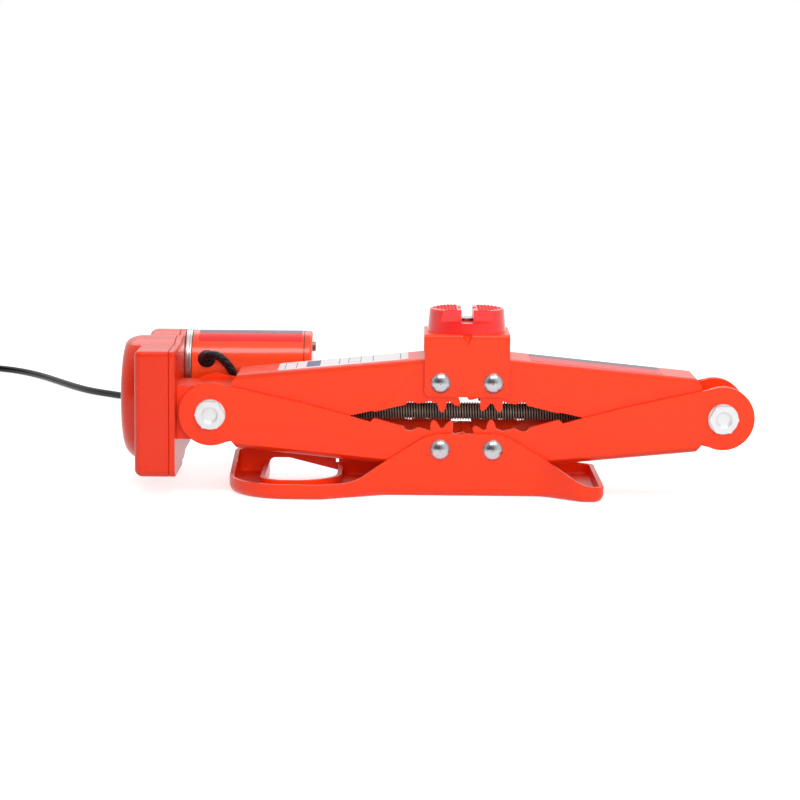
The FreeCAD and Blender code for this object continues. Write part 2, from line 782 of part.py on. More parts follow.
def right_trunnion():
    nut = cylinder("nut_blank", "nut_diameter / 2", f"2 * {TRUNNION_HALF}",
                   (OUTER_X, f"-{TRUNNION_HALF}", "axis_height"), "Y")
    holes = [screw_bore("nut_bore")] + bolt_holes(OUTER_X)
    return node("right_trunnion", cut("right_trunnion", nut, holes))


left_trunnion()
right_trunnion()
hinge_bolts("left_hinge_bolts", f"-{OUTER_X}")
hinge_bolts("right_hinge_bolts", OUTER_X)


# Lead screw with its thrust collar

def ring(name, outer, inner, length, x, y="0", z="axis_height"):
    disc = cylinder(name + "_disc", outer, length, (x, y, z))
    return cut(name, disc, [cylinder(name + "_bore", inner, length, (x, y, z))])


SCREW_END = f"({OUTER_X} + screw_overhang)"
SCREW_SEAT = "(screw_diameter / 2 + pin_clearance)"
COLLAR_X = f"(trunnion_reach - {OUTER_X})"

rod = cylinder("screw_rod", "screw_diameter / 2", f"{SCREW_END} - screw_chamfer - {SCREW_GEAR_X}",
               (SCREW_GEAR_X, "0", "axis_height"))
point = cone("screw_point", "screw_diameter / 2", "screw_diameter / 2 - screw_chamfer", "screw_chamfer",
             (f"{SCREW_END} - screw_chamfer", "0", "axis_height"), "X")
node("lead_screw", fuse("lead_screw", [rod, point]))
node("thrust_washer", ring("thrust_washer", "washer_diameter / 2", SCREW_SEAT, "washer_thickness",
                           COLLAR_X))
node("screw_collar", ring("screw_collar", "collar_diameter / 2", SCREW_SEAT, "collar_length",
                          f"({COLLAR_X} + washer_thickness)"))


# Gear train: motor pinion to wheel, its small pinion to the gear on the lead screw

# Distance from the pitch circle and half width of a tooth at its root, pitch circle and tip, in modules
TOOTH_FORM = ((-1.15, 0.85), (0, 0.66), (0.85, 0.3))


def gear(teeth, module, phase, width, x, y, z):
    """A spur gear with straight flanks, its first tooth at a phase angle in the YZ plane."""
    count = round(value(teeth))
    size = value(module)
    pitch = count * size / 2
    flank = [(pitch + out * size, half * size) for out, half in TOOTH_FORM]
    profile = [(r, -half) for r, half in flank] + [(r, half) for r, half in reversed(flank)]
    centre = FreeCAD.Vector(value(x), value(y), value(z))
    corners = []
    for number in range(count):
        turn = math.radians(phase + 360 * number / count)
        for out, across in profile:
            corners.append(centre + FreeCAD.Vector(0, out * math.cos(turn) - across * math.sin(turn),
                                                   out * math.sin(turn) + across * math.cos(turn)))
    face = Part.Face(Part.makePolygon(corners + corners[:1]))
    return face.extrude(FreeCAD.Vector(value(width), 0, 0))


def bored(shape, radius, x, y, z):
    """A gear with a round bore along X."""
    reach = value("block_depth")
    start = FreeCAD.Vector(value(x) - reach, value(y), value(z))
    return shape.cut(Part.makeCylinder(value(radius), 3 * reach, start, FreeCAD.Vector(1, 0, 0)))


low_line = value("train_angle_low")
high_line = value("train_angle_high")
AXLE_HOLE = "(axle_diameter / 2 + pin_clearance)"
SHAFT_HOLE = "(shaft_diameter / 2 + pin_clearance)"

screw_middle = (SCREW_GEAR_X, "0", "axis_height")
wheel_middle = (WHEEL_X, WHEEL_Y, WHEEL_Z)
pinion_middle = (WHEEL_X, MOTOR_Y, MOTOR_Z)
screw_gear = gear("screw_teeth", "low_module", low_line, "screw_gear_width", *screw_middle)
node("screw_gear", solid("screw_gear", bored(screw_gear, SCREW_SEAT, *screw_middle)))
small_phase = low_line + 180 + 180 / value("small_pinion_teeth")
small_pinion = gear("small_pinion_teeth", "low_module", small_phase,
                    "screw_gear_width + gear_gap", f"{SCREW_GEAR_X} - gear_gap", WHEEL_Y, WHEEL_Z)
wheel = gear("wheel_teeth", "high_module", high_line, "wheel_width", *wheel_middle).fuse(small_pinion)
node("reduction_wheel", solid("reduction_wheel", bored(wheel, AXLE_HOLE, *wheel_middle)))
pinion_phase = high_line + 180 + 180 / value("motor_pinion_teeth")
motor_pinion = gear("motor_pinion_teeth", "high_module", pinion_phase, "wheel_width", *pinion_middle)
node("motor_pinion", solid("motor_pinion", bored(motor_pinion, SHAFT_HOLE, *pinion_middle)))
AXLE_X = f"({WHEEL_X} - chamber_gap - axle_seat)"
AXLE_LENGTH = f"({SEAM_X} + axle_seat - {AXLE_X})"
node("wheel_axle", cylinder("wheel_axle", "axle_diameter / 2", AXLE_LENGTH, (AXLE_X, WHEEL_Y, WHEEL_Z)))


# Gearbox: a deep shell at the left and a thin cover at the right of one seam

def shell_forms(name, x, block_depth, dome_depth, motor_depth):
    """The four overlapping forms of the gearbox outline, from a plane at x to the right."""
    low = "(axis_height - block_below)"
    back = f"({MOTOR_Y} + motor_block_radius)"
    block = box(name + "_block", (f"{x} - {block_depth}", "-block_front", low),
                (block_depth, "block_front + block_back", "block_below + block_above"))
    foot = box(name + "_foot", (f"{x} - {motor_depth}", "0", "motor_block_foot"),
               (motor_depth, back, f"{MOTOR_Z} - motor_block_foot"))
    dome_disc = cylinder(name + "_dome", "dome_radius", dome_depth,
                         (f"{x} - {dome_depth}", WHEEL_Y, WHEEL_Z))
    motor_disc = cylinder(name + "_motor", "motor_block_radius", motor_depth,
                          (f"{x} - {motor_depth}", MOTOR_Y, MOTOR_Z))
    return block, foot, dome_disc, motor_disc


def cover_screw_places():
    """Middle, and depth of the left face, of each screw that holds the cover."""
    low = "(axis_height - block_below + cover_screw_inset)"
    high = "(axis_height + block_above - cover_screw_inset)"
    front = "(cover_screw_inset - block_front)"
    back = f"({MOTOR_Y} + motor_block_radius - cover_screw_inset - block_round)"
    return [
        (front, low, "block_depth"),
        (front, high, "block_depth"),
        (back, "(motor_block_foot + cover_screw_inset + block_round)", "motor_block_depth"),
        (f"({MOTOR_Y} + cover_screw_back)", f"({MOTOR_Z} + cover_screw_up)", "motor_block_depth"),
    ]


COVER_SCREW_HOLE = "(cover_screw_diameter / 2 + pin_clearance)"


def gearbox_housing():
    block, foot, dome_disc, motor_disc = shell_forms("shell", SEAM_X, "block_depth", "dome_length",
                                                     "motor_block_depth")
    seam = value(SEAM_X)
    back = value(f"{MOTOR_Y} + motor_block_radius")

    def left_face(depth):
        return lambda point: near(point.x, seam - value(depth))

    def front_corner(point):
        return point.y < 0

    block = rounded("shell_block_sides", block, "block_round", front_corner, along=0)
    block = rounded("shell_block_face", block, "block_round", left_face("block_depth"))
    foot = rounded("shell_foot_back", foot, "2 * block_round", lambda point: near(point.y, back), along=0)
    foot = rounded("shell_foot_face", foot, "block_round", left_face("motor_block_depth"))
    dome_disc = rounded("shell_dome_round", dome_disc, "dome_round", left_face("dome_length"))
    motor_disc = rounded("shell_motor_round", motor_disc, "block_round", left_face("motor_block_depth"))
    body = fuse("shell_body", [block, foot, dome_disc, motor_disc])
    chambers = [
        cylinder("screw_chamber", "(screw_teeth / 2 + 1) * low_module + chamber_gap",
                 f"{SEAM_X} - {SCREW_GEAR_X} + chamber_gap",
                 (f"{SCREW_GEAR_X} - chamber_gap", "0", "axis_height")),
        cylinder("wheel_chamber", "(wheel_teeth / 2 + 1) * high_module + chamber_gap",
                 f"{SEAM_X} - {WHEEL_X} + chamber_gap", (f"{WHEEL_X} - chamber_gap", WHEEL_Y, WHEEL_Z)),
        cylinder("pinion_chamber", "(motor_pinion_teeth / 2 + 1) * high_module + chamber_gap",
                 f"{SEAM_X} - {WHEEL_X} + chamber_gap", (f"{WHEEL_X} - chamber_gap", MOTOR_Y, MOTOR_Z)),
        cylinder("axle_seat_left", AXLE_HOLE, "2 * axle_seat", (AXLE_X, WHEEL_Y, WHEEL_Z)),
    ]
    for y, z, depth in cover_screw_places():
        start = (f"{SEAM_X} - {depth} - side_gap", y, z)
        shank = cylinder("cover_screw_hole", COVER_SCREW_HOLE, f"{depth} + 2 * side_gap", start)
        well = cylinder("cover_screw_well", "cover_screw_head / 2 + side_gap",
                        "cover_screw_head_height + 2 * side_gap", start)
        chambers.append(fuse("cover_screw_room", [shank, well]))
    return node("gearbox_housing", cut("gearbox_housing", body, chambers))


def gearbox_cover():
    forms = shell_forms("cover", GEAR_FACE_X, "cover_thickness", "cover_thickness", "cover_thickness")
    back = value(f"{MOTOR_Y} + motor_block_radius")
    block = rounded("cover_block_sides", forms[0], "block_round", lambda point: point.y < 0, along=0)
    foot = rounded("cover_foot_back", forms[1], "2 * block_round", lambda point: near(point.y, back), along=0)
    body = fuse("cover_body", [block, foot, forms[2], forms[3]])
    seam = value(SEAM_X)
    body = rounded("cover_seam", body, "seam_chamfer", lambda point: near(point.x, seam), kind="Chamfer")
    cuts = [
        cylinder("cover_screw_bore", f"{SCREW_HOLE} + side_gap", "cover_thickness",
                 (SEAM_X, "0", "axis_height")),
        cylinder("cover_shaft_bore", "bush_diameter / 2", "cover_thickness", (SEAM_X, MOTOR_Y, MOTOR_Z)),
        cylinder("axle_seat_right", AXLE_HOLE, "axle_seat", (SEAM_X, WHEEL_Y, WHEEL_Z)),
    ]
    for y, z, depth in cover_screw_places():
        cuts.append(cylinder("cover_tapped", COVER_SCREW_HOLE, "cover_thickness / 2 + side_gap",
                             (SEAM_X, y, z)))
    for y, z in trunnion_screw_places():
        cuts.append(cylinder("cover_clear", "trunnion_screw_diameter / 2 + pin_clearance",
                             "cover_thickness", (SEAM_X, y, z)))
        cuts.append(cylinder("cover_recess", "trunnion_screw_head / 2 + side_gap",
                             "trunnion_screw_head_height", (SEAM_X, y, z)))
    return node("gearbox_cover", cut("gearbox_cover", body, cuts))


def machine_screw(head_diameter, head_height, diameter, length, x, y, z):
    """A screw along +X with its head first."""
    head = cylinder("screw_head", f"{head_diameter} / 2", head_height, (x, y, z))
    shank = cylinder("screw_shank", f"{diameter} / 2", length, (x, y, z))
    return fuse("machine_screw", [head, shank])


gearbox_housing()
gearbox_cover()
node("gearbox_screws", group("gearbox_screws", [
    machine_screw("cover_screw_head", "cover_screw_head_height", "cover_screw_diameter",
                  f"{depth} + cover_thickness / 2 - side_gap", f"{SEAM_X} - {depth} + side_gap", y, z)
    for y, z, depth in cover_screw_places()]))
node("trunnion_screws", group("trunnion_screws", [
    machine_screw("trunnion_screw_head", "trunnion_screw_head_height", "trunnion_screw_diameter",
                  "cover_thickness + trunnion_screw_length", SEAM_X, y, z)
    for y, z in trunnion_screw_places()]))


# Motor: ring flange, can, end cap, magnets and the turning armature on its shaft

node("motor_ring", ring("motor_ring", "ring_diameter / 2", "bush_diameter / 2 + pin_clearance",
                        "ring_thickness", GEAR_FACE_X, MOTOR_Y, MOTOR_Z))


def tilted(item, distance):
    """Turn an object's Z to the cord's exit and set it a distance from the motor axis."""
    item.Placement = FreeCAD.Placement(FreeCAD.Vector(), FreeCAD.Rotation(FreeCAD.Vector(1, 0, 0), 1))
    return bind(item, Placement__Base__x=f"{CAN_X} + grommet_along",
                Placement__Base__y=f"{MOTOR_Y} - ({distance}) * cos(grommet_angle)",
                Placement__Base__z=f"{MOTOR_Z} + ({distance}) * sin(grommet_angle)",
                Placement__Rotation__Angle="90 - grommet_angle")


def tilted_cylinder(name, radius, length, distance):
    return tilted(bind(doc.addObject("Part::Cylinder", name), Radius=radius, Height=length), distance)


NECK = "(grommet_diameter / 2 - can_wall)"
can_blank = ring("can_blank", "can_diameter / 2", "can_diameter / 2 - can_wall", "can_length",
                 CAN_X, MOTOR_Y, MOTOR_Z)
neck_hole = tilted_cylinder("neck_hole", f"{NECK} + pin_clearance", "can_diameter / 2", "can_diameter / 4")
node("motor_can", cut("motor_can", can_blank, [neck_hole]))
neck = tilted_cylinder("grommet_neck", NECK, "2 * can_wall", "can_diameter / 2 - 2 * can_wall")
lip = bind(doc.addObject("Part::Cone", "grommet_lip"), Radius1="grommet_diameter / 2",
           Radius2="cord_diameter / 2 + grommet_wall", Height="grommet_flange_height")
tilted(lip, "can_diameter / 2")
node("cord_grommet", fuse("cord_grommet", [neck, lip]))

cap_blank = cylinder("end_cap_blank", "can_diameter / 2", "end_cap_thickness", (END_CAP_X, MOTOR_Y, MOTOR_Z))
cap_face = value(f"{END_CAP_X} + end_cap_thickness")
cap_soft = rounded("end_cap_soft", cap_blank, "end_cap_round", lambda point: near(point.x, cap_face))
BUSH_DEPTH = "(end_cap_thickness - can_wall)"
bush_seat = cylinder("bush_seat", "bush_diameter / 2 + pin_clearance", BUSH_DEPTH,
                     (END_CAP_X, MOTOR_Y, MOTOR_Z))
node("motor_end_cap", cut("motor_end_cap", cap_soft, [bush_seat]))
node("shaft_bushes", group("shaft_bushes", [
    ring("front_bush", "bush_diameter / 2", SHAFT_HOLE, "ring_thickness", GEAR_FACE_X, MOTOR_Y, MOTOR_Z),
    ring("rear_bush", "bush_diameter / 2", SHAFT_HOLE, BUSH_DEPTH, END_CAP_X, MOTOR_Y, MOTOR_Z)]))
SHAFT_LENGTH = f"{END_CAP_X} + {BUSH_DEPTH} - side_gap - {WHEEL_X}"
node("motor_shaft", cylinder("motor_shaft", "shaft_diameter / 2", SHAFT_LENGTH, pinion_middle))
ARMATURE_X = f"({CAN_X} + armature_start)"
node("armature", ring("armature", "armature_diameter / 2", SHAFT_HOLE, "armature_length",
                      ARMATURE_X, MOTOR_Y, MOTOR_Z))
MAGNET_OUTER = "(can_diameter / 2 - can_wall - magnet_seat)"
magnet_tube = ring("magnet_tube", MAGNET_OUTER, f"{MAGNET_OUTER} - magnet_thickness", "armature_length",
                   ARMATURE_X, MOTOR_Y, MOTOR_Z)
magnet_low = (ARMATURE_X, f"{MOTOR_Y} - can_diameter / 2", f"{MOTOR_Z} - can_diameter / 4")
magnet_split = box("magnet_split", magnet_low, ("armature_length", "can_diameter", "can_diameter / 2"))
node("motor_magnets", cut("motor_magnets", magnet_tube, [magnet_split]))


# Cord: lead from the motor, then a run on the floor to a tied coil and a 12 volt plug.
# The points of the route are chosen by hand.

MOTOR_LEAD = [
    (-172.05, 30.5, 82.98),
    (-170.87, 29.0, 83.55),
    (-169.25, 27.95, 83.95),
    (-167.35, 27.45, 84.15),
    (-165.2, 27.25, 83.75),
    (-162.7, 27.4, 82.5),
    (-160.1, 28.3, 79.9),
    (-156.9, 29.9, 76.0),
    (-153.2, 31.3, 69.3),
    (-150.0, 32.6, 62.2),
    (-147.0, 35.4, 55.6),
]
CORD_SPLIT = (-144.8, 38.6, 49.6)
POWER_CORD = [
    (-142.95, 41.3, 44.57),
    (-141.7, 45.0, 40.2),
    (-141.4, 49.6, 36.2),
    (-141.8, 55.6, 31.6),
    (-142.8, 63.5, 25.6),
    (-144.6, 73.4, 18.2),
    (-147.0, 86.5, 10.4),
    (-149.8, 105.0, 4.6),
    (-152.6, 131.0, 2.8),
    (-157.0, 170.0, 2.8),
    (-166.0, 222.0, 2.8),
    (-183.0, 277.0, 2.8),
    (-207.0, 332.0, 2.8),
    (-236.0, 384.0, 2.8),
    (-258.0, 415.0, 2.8),
    (-281.0, 437.0, 2.8),
    (-303.0, 459.0, 2.8),
    (-321.0, 488.0, 2.8),
    (-341.0, 526.0, 2.8),
    (-361.0, 563.0, 2.8),
    (-384.0, 594.0, 2.8),
    (-410.0, 613.0, 2.8),
]
COIL_ENTRY = (-432.0, 622.0, 4.0)
COIL_MIDDLE = (-447.7, 589.0)


# The share of a run that the arc at its end takes up
CORNER_SHARE = 0.45


def cord_path(name, points):
    """Straight runs joined by tangent arcs, each as large as its two runs allow."""
    corners = [FreeCAD.Vector(*point) for point in points]
    edges = []
    start = corners[0]
    radii = []
    for before, corner, after in zip(corners, corners[1:], corners[2:]):
        arrive = (corner - before).normalize()
        leave = (after - corner).normalize()
        reach = CORNER_SHARE * min(corner.distanceToPoint(before), corner.distanceToPoint(after))
        turn = arrive.getAngle(leave)
        radii.append(reach / math.tan(turn / 2))
        enter = corner - arrive * reach
        exit_point = corner + leave * reach
        bisector = (leave - arrive).normalize()
        middle = corner + bisector * (radii[-1] / math.cos(turn / 2) - radii[-1])
        edges.append(Part.LineSegment(start, enter).toShape())
        edges.append(Part.Arc(enter, middle, exit_point).toShape())
        start = exit_point
    edges.append(Part.LineSegment(start, corners[-1]).toShape())
    print(name, "bend radii", [round(radius, 1) for radius in radii])
    return Part.Wire(edges)


def cord_tube(name, points):
    path = cord_path(name, points)
    radius = value("cord_diameter") / 2
    start = FreeCAD.Vector(*points[0])
    section = Part.Wire(Part.makeCircle(radius, start, FreeCAD.Vector(*points[1]) - start))
    tube = path.makePipeShell([section], True, False)
    ratio = tube.Volume / (math.pi * radius ** 2 * path.Length)
    print(name, "length", round(path.Length, 1), "volume ratio", round(ratio, 4))
    return node(name, solid(name, tube))


def cord_exit(distance):
    """A point on the grommet's axis."""
    angle = math.radians(value("grommet_angle"))
    reach = value("can_diameter / 2") + distance
    return (value(f"{CAN_X} + grommet_along"), value(MOTOR_Y) - reach * math.cos(angle),
            value(MOTOR_Z) + reach * math.sin(angle))


def cord_start(point, toward):
    """A point just past the end of the lead, on the way to the next point."""
    first = FreeCAD.Vector(*point)
    return tuple(first + (FreeCAD.Vector(*toward) - first).normalize() * value("cord_gap"))


lip_height = value("grommet_flange_height")
first_run = [cord_exit(lip_height), cord_exit(lip_height + value("lead_start"))]
cord_tube("motor_lead", first_run + MOTOR_LEAD + [CORD_SPLIT])
cord_tube("power_cord", [cord_start(CORD_SPLIT, POWER_CORD[0])] + POWER_CORD + [COIL_ENTRY])

COIL_HALF = "(coil_columns * cord_diameter / 2)"
COIL_HEIGHT = "(coil_layers * cord_diameter)"
COIL_INNER = f"(coil_radius - {COIL_HALF})"
COIL_OUTER = f"(coil_radius + {COIL_HALF})"
coil_x, coil_y = COIL_MIDDLE
coil_middle = (coil_x, coil_y, "tie_thickness")
coil_disc = cylinder("coil_disc", COIL_OUTER, COIL_HEIGHT, coil_middle, "Z")
coil_blank = cut("coil_blank", coil_disc, [cylinder("coil_eye", COIL_INNER, COIL_HEIGHT, coil_middle, "Z")])
node("cord_coil", rounded("cord_coil", coil_blank, "coil_round", lambda point: True))
TIE_LOW = f"({coil_y} - {COIL_OUTER} - side_gap)"
TIE_SPAN = f"(2 * {COIL_HALF} + 3 * side_gap)"
tie_blank = box("tie_blank", (f"{coil_x} - tie_width / 2", f"{TIE_LOW} - tie_thickness", "0"),
                ("tie_width", f"{TIE_SPAN} + 2 * tie_thickness", f"{COIL_HEIGHT} + 2 * tie_thickness"))
tie_eye = box("tie_eye", (f"{coil_x} - tie_width", TIE_LOW, "tie_thickness"),
              ("2 * tie_width", TIE_SPAN, COIL_HEIGHT))
node("coil_tie", cut("coil_tie", tie_blank, [tie_eye]))


# Plug: lies beside the coil and points to the front

PLUG_X = f"({coil_x} - {COIL_OUTER} + cord_diameter / 2)"
PLUG_Z = "(plug_diameter / 2)"
PLUG_TAIL = f"({coil_y} - plug_setback)"


def plug_part(name, bottom, top, length, start):
    return cone(name, bottom, top, length, (PLUG_X, f"{PLUG_TAIL} - ({start})", PLUG_Z), "-Y")


node("plug_lead", cylinder("plug_lead", "cord_diameter / 2", "plug_lead_length",
                           (PLUG_X, PLUG_TAIL, PLUG_Z), "Y"))
RELIEF = "plug_nose_length * 2 / 3"
relief = plug_part("plug_relief", "cord_diameter / 2 + relief_wall", "plug_diameter / 4", RELIEF, "0")
handle = plug_part("plug_handle", "plug_diameter / 2 - plug_draft", "plug_diameter / 2", "plug_length",
                   RELIEF)
NOSE = f"{RELIEF} + plug_length"
nose = plug_part("plug_nose", "plug_nose_diameter / 2", "plug_nose_diameter / 2 - plug_draft",
                 "plug_nose_length", NOSE)
node("plug_body", fuse("plug_body", [relief, handle, nose]))
TIP = f"{NOSE} + plug_nose_length"
node("plug_tip", plug_part("plug_tip", "plug_tip_diameter / 2", "plug_tip_diameter / 2 - plug_draft",
                           "plug_tip_length", TIP))


# Check every object, then write the pieces

doc.recompute()
for item in doc.Objects:
    if "Invalid" in item.State or "Error" in item.State:
        raise RuntimeError(f"{item.Label} failed: {item.State}")
for item in nodes:
    if item.Shape.isNull() or not item.Shape.isValid():
        raise RuntimeError(f"{item.Label} has no valid shape")

os.makedirs("parts", exist_ok=True)
for item in nodes:
    item.Shape.exportStep(f"parts/{item.Label}.step")
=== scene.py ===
"""An electric scissor jack for cars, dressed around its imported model. Sizes are in millimetres."""

import json
import math

import bmesh
import bpy
from mathutils import Matrix, Vector


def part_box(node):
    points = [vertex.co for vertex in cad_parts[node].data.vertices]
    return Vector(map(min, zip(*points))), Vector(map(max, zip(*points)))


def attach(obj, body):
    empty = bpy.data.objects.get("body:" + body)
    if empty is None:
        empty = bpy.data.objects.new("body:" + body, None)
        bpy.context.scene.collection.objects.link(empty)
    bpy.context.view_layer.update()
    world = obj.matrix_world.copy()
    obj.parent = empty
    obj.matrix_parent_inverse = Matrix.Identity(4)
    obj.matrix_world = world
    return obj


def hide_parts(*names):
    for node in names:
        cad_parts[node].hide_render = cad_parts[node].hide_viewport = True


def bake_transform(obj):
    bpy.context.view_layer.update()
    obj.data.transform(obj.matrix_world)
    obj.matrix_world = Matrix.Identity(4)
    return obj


MM = 0.001
TURN = 2 * math.pi

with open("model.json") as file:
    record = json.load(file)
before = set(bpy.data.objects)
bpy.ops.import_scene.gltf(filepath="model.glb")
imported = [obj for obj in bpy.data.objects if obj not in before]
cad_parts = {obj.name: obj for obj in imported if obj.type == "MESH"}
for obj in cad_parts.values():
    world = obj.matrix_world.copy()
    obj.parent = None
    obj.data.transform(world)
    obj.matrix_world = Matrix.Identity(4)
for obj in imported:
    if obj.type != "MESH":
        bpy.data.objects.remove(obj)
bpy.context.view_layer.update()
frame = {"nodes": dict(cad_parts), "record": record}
nodes = frame["nodes"]


# Camera: in front of the jack and a little above it, looking along +Y

CAMERA_TARGET = Vector((-43.1, 0.0, 58.7)) * MM
CAMERA_DISTANCE = 1.645
CAMERA_RISE = math.radians(7.6)
CAMERA_ROLL = math.radians(0.54)
CAMERA_LENS = 112.86

camera = bpy.data.objects.new("camera", bpy.data.cameras.new("camera"))
bpy.context.scene.collection.objects.link(camera)
camera.data.lens = CAMERA_LENS
camera.data.sensor_width = 36.0
camera.location = CAMERA_TARGET + CAMERA_DISTANCE * Vector((0, -math.cos(CAMERA_RISE), math.sin(CAMERA_RISE)))
camera.rotation_euler = (
    Matrix.Rotation(TURN / 4 - CAMERA_RISE, 3, "X") @ Matrix.Rotation(CAMERA_ROLL, 3, "Z")
).to_euler()
bpy.context.scene.camera = camera
bpy.context.scene.view_settings.view_transform = "Standard"


# Materials

def linear(hex_colour):
    """An sRGB hex colour as linear red, green, blue and alpha."""
    channels = [int(hex_colour[i:i + 2], 16) / 255 for i in (1, 3, 5)]
    return [c / 12.92 if c <= 0.04045 else ((c + 0.055) / 1.055) ** 2.4 for c in channels] + [1.0]


def add(tree, kind, inputs=None, **settings):
    """Adds a node with its settings; an input takes a value or another node's output."""
    item = tree.nodes.new(kind)
    for name, setting in settings.items():
        setattr(item, name, setting)
    for name, given in (inputs or {}).items():
        if isinstance(given, bpy.types.NodeSocket):
            tree.links.new(given, item.inputs[name])
        else:
            item.inputs[name].default_value = given
    return item


def per_mm(size):
    """The scale of a pattern whose features are that many millimetres wide."""
    return 1 / (size * MM)


# Height of a full bump on a painted, plated or moulded skin
SKIN = 0.05 * MM


def new_material(name, **constants):
    """A material with one shader; returns it with its tree, shader and object coordinates."""
    material = bpy.data.materials.new(name)
    material.use_nodes = True
    tree = material.node_tree
    shader = tree.nodes["Principled BSDF"]
    for socket, given in constants.items():
        shader.inputs[socket.replace("_", " ").title().replace("Ior", "IOR")].default_value = given
    place = add(tree, "ShaderNodeTexCoord").outputs["Object"]
    return material, tree, shader, place


def soft_edges(tree, radius):
    """The surface's direction, rounded over edges by that many millimetres."""
    return add(tree, "ShaderNodeBevel", {"Radius": radius * MM}, samples=4).outputs["Normal"]


def paint(name, hex_colour, deep_hex, roughness, peel, coat, edge=0.0):
    """Stove paint: an even colour, a soft orange peel, and a glossy skin that rounds sharp edges where an
    edge radius is given.
    """
    material, tree, shader, place = new_material(name, coat_weight=coat, coat_roughness=0.06, ior=1.5,
                                                 specular_ior_level=0.3)
    drift = add(tree, "ShaderNodeTexNoise", {"Vector": place, "Scale": per_mm(70), "Detail": 2.0})
    tone = add(tree, "ShaderNodeMix", {0: drift.outputs["Fac"], 6: linear(hex_colour),
                                       7: linear(deep_hex)}, data_type="RGBA")
    fine = add(tree, "ShaderNodeTexNoise", {"Vector": place, "Scale": per_mm(1.8), "Detail": 3.0})
    gloss = add(tree, "ShaderNodeMapRange", {"Value": fine.outputs["Fac"], "To Min": roughness - 0.04,
                                             "To Max": roughness + 0.06})
    bump = add(tree, "ShaderNodeBump", {"Height": fine.outputs["Fac"], "Strength": peel, "Distance": SKIN})
    if edge:
        tree.links.new(soft_edges(tree, edge), bump.inputs["Normal"])
    tree.links.new(tone.outputs[2], shader.inputs["Base Color"])
    tree.links.new(gloss.outputs["Result"], shader.inputs["Roughness"])
    tree.links.new(bump.outputs["Normal"], shader.inputs["Normal"])
    return material


def metal(name, hex_colour, dull_hex, roughness, grain, stretch, depth, bare=1.0):
    """Bare or plated metal: fine marks along or across, and patches that are a little duller."""
    material, tree, shader, place = new_material(name, metallic=bare)
    lay = add(tree, "ShaderNodeMapping", {"Vector": place, "Scale": stretch})
    marks = add(tree, "ShaderNodeTexNoise", {"Vector": lay.outputs["Vector"], "Scale": per_mm(grain),
                                             "Detail": 4.0, "Roughness": 0.6})
    patches = add(tree, "ShaderNodeTexNoise", {"Vector": place, "Scale": per_mm(9), "Detail": 2.0})
    tone = add(tree, "ShaderNodeMix", {0: patches.outputs["Fac"], 6: linear(hex_colour),
                                       7: linear(dull_hex)}, data_type="RGBA")
    gloss = add(tree, "ShaderNodeMapRange", {"Value": marks.outputs["Fac"], "To Min": roughness - 0.06,
                                             "To Max": roughness + 0.1})
    bump = add(tree, "ShaderNodeBump", {"Height": marks.outputs["Fac"], "Strength": depth, "Distance": SKIN})
    tree.links.new(tone.outputs[2], shader.inputs["Base Color"])
    tree.links.new(gloss.outputs["Result"], shader.inputs["Roughness"])
    tree.links.new(bump.outputs["Normal"], shader.inputs["Normal"])
    return material


def moulded(name, hex_colour, worn_hex, roughness, grain, depth):
    """Moulded rubber or plastic: a fine grain, greyer where it is handled."""
    material, tree, shader, place = new_material(name, ior=1.5, specular_ior_level=0.35)
    handled = add(tree, "ShaderNodeTexNoise", {"Vector": place, "Scale": per_mm(25), "Detail": 3.0})
    tone = add(tree, "ShaderNodeMix", {0: handled.outputs["Fac"], 6: linear(hex_colour),
                                       7: linear(worn_hex)}, data_type="RGBA")
    texture = add(tree, "ShaderNodeTexNoise", {"Vector": place, "Scale": per_mm(grain), "Detail": 2.0})
    gloss = add(tree, "ShaderNodeMapRange", {"Value": texture.outputs["Fac"], "To Min": roughness - 0.08,
                                             "To Max": roughness + 0.08})
    bump = add(tree, "ShaderNodeBump", {"Height": texture.outputs["Fac"], "Strength": depth,
                                        "Distance": SKIN})
    tree.links.new(tone.outputs[2], shader.inputs["Base Color"])
    tree.links.new(gloss.outputs["Result"], shader.inputs["Roughness"])
    tree.links.new(bump.outputs["Normal"], shader.inputs["Normal"])
    return material


def twisted(name, hex_colour, worn_hex, roughness, cores, turns, depth):
    """Rubber drawn tight over twisted cores, which show as slanting ridges along the cord's own map."""
    material, tree, shader, place = new_material(name, ior=1.5, roughness=roughness, specular_ior_level=0.35)
    along = add(tree, "ShaderNodeSeparateXYZ", {"Vector": add(tree, "ShaderNodeTexCoord").outputs["UV"]})
    lead = add(tree, "ShaderNodeMath", {0: along.outputs["X"], 1: turns, 2: along.outputs["Y"]},
               operation="MULTIPLY_ADD")
    angle = add(tree, "ShaderNodeMath", {0: lead.outputs["Value"], 1: TURN * cores}, operation="MULTIPLY")
    wave = add(tree, "ShaderNodeMath", {0: angle.outputs["Value"]}, operation="SINE")
    ridge = add(tree, "ShaderNodeMapRange", {"Value": wave.outputs["Value"], "From Min": -1.0,
                                             "From Max": 0.2})
    fine = add(tree, "ShaderNodeTexNoise", {"Vector": place, "Scale": per_mm(0.8), "Detail": 2.0})
    tone = add(tree, "ShaderNodeMix", {0: fine.outputs["Fac"], 6: linear(hex_colour), 7: linear(worn_hex)},
               data_type="RGBA")
    bump = add(tree, "ShaderNodeBump", {"Height": ridge.outputs["Result"], "Strength": 0.9,
                                        "Distance": depth * MM})
    tree.links.new(tone.outputs[2], shader.inputs["Base Color"])
    tree.links.new(bump.outputs["Normal"], shader.inputs["Normal"])
    return material


EVEN = (1.0, 1.0, 1.0)
LENGTHWISE = (0.08, 1.0, 1.0)

# Powder-coated pressed steel: bright orange red, glossy, faintly rippled
pressed_red = paint("powder_coated_steel", "#f73b10", "#f3390f", roughness=0.3, peel=0.06, coat=0.1, edge=0.5)
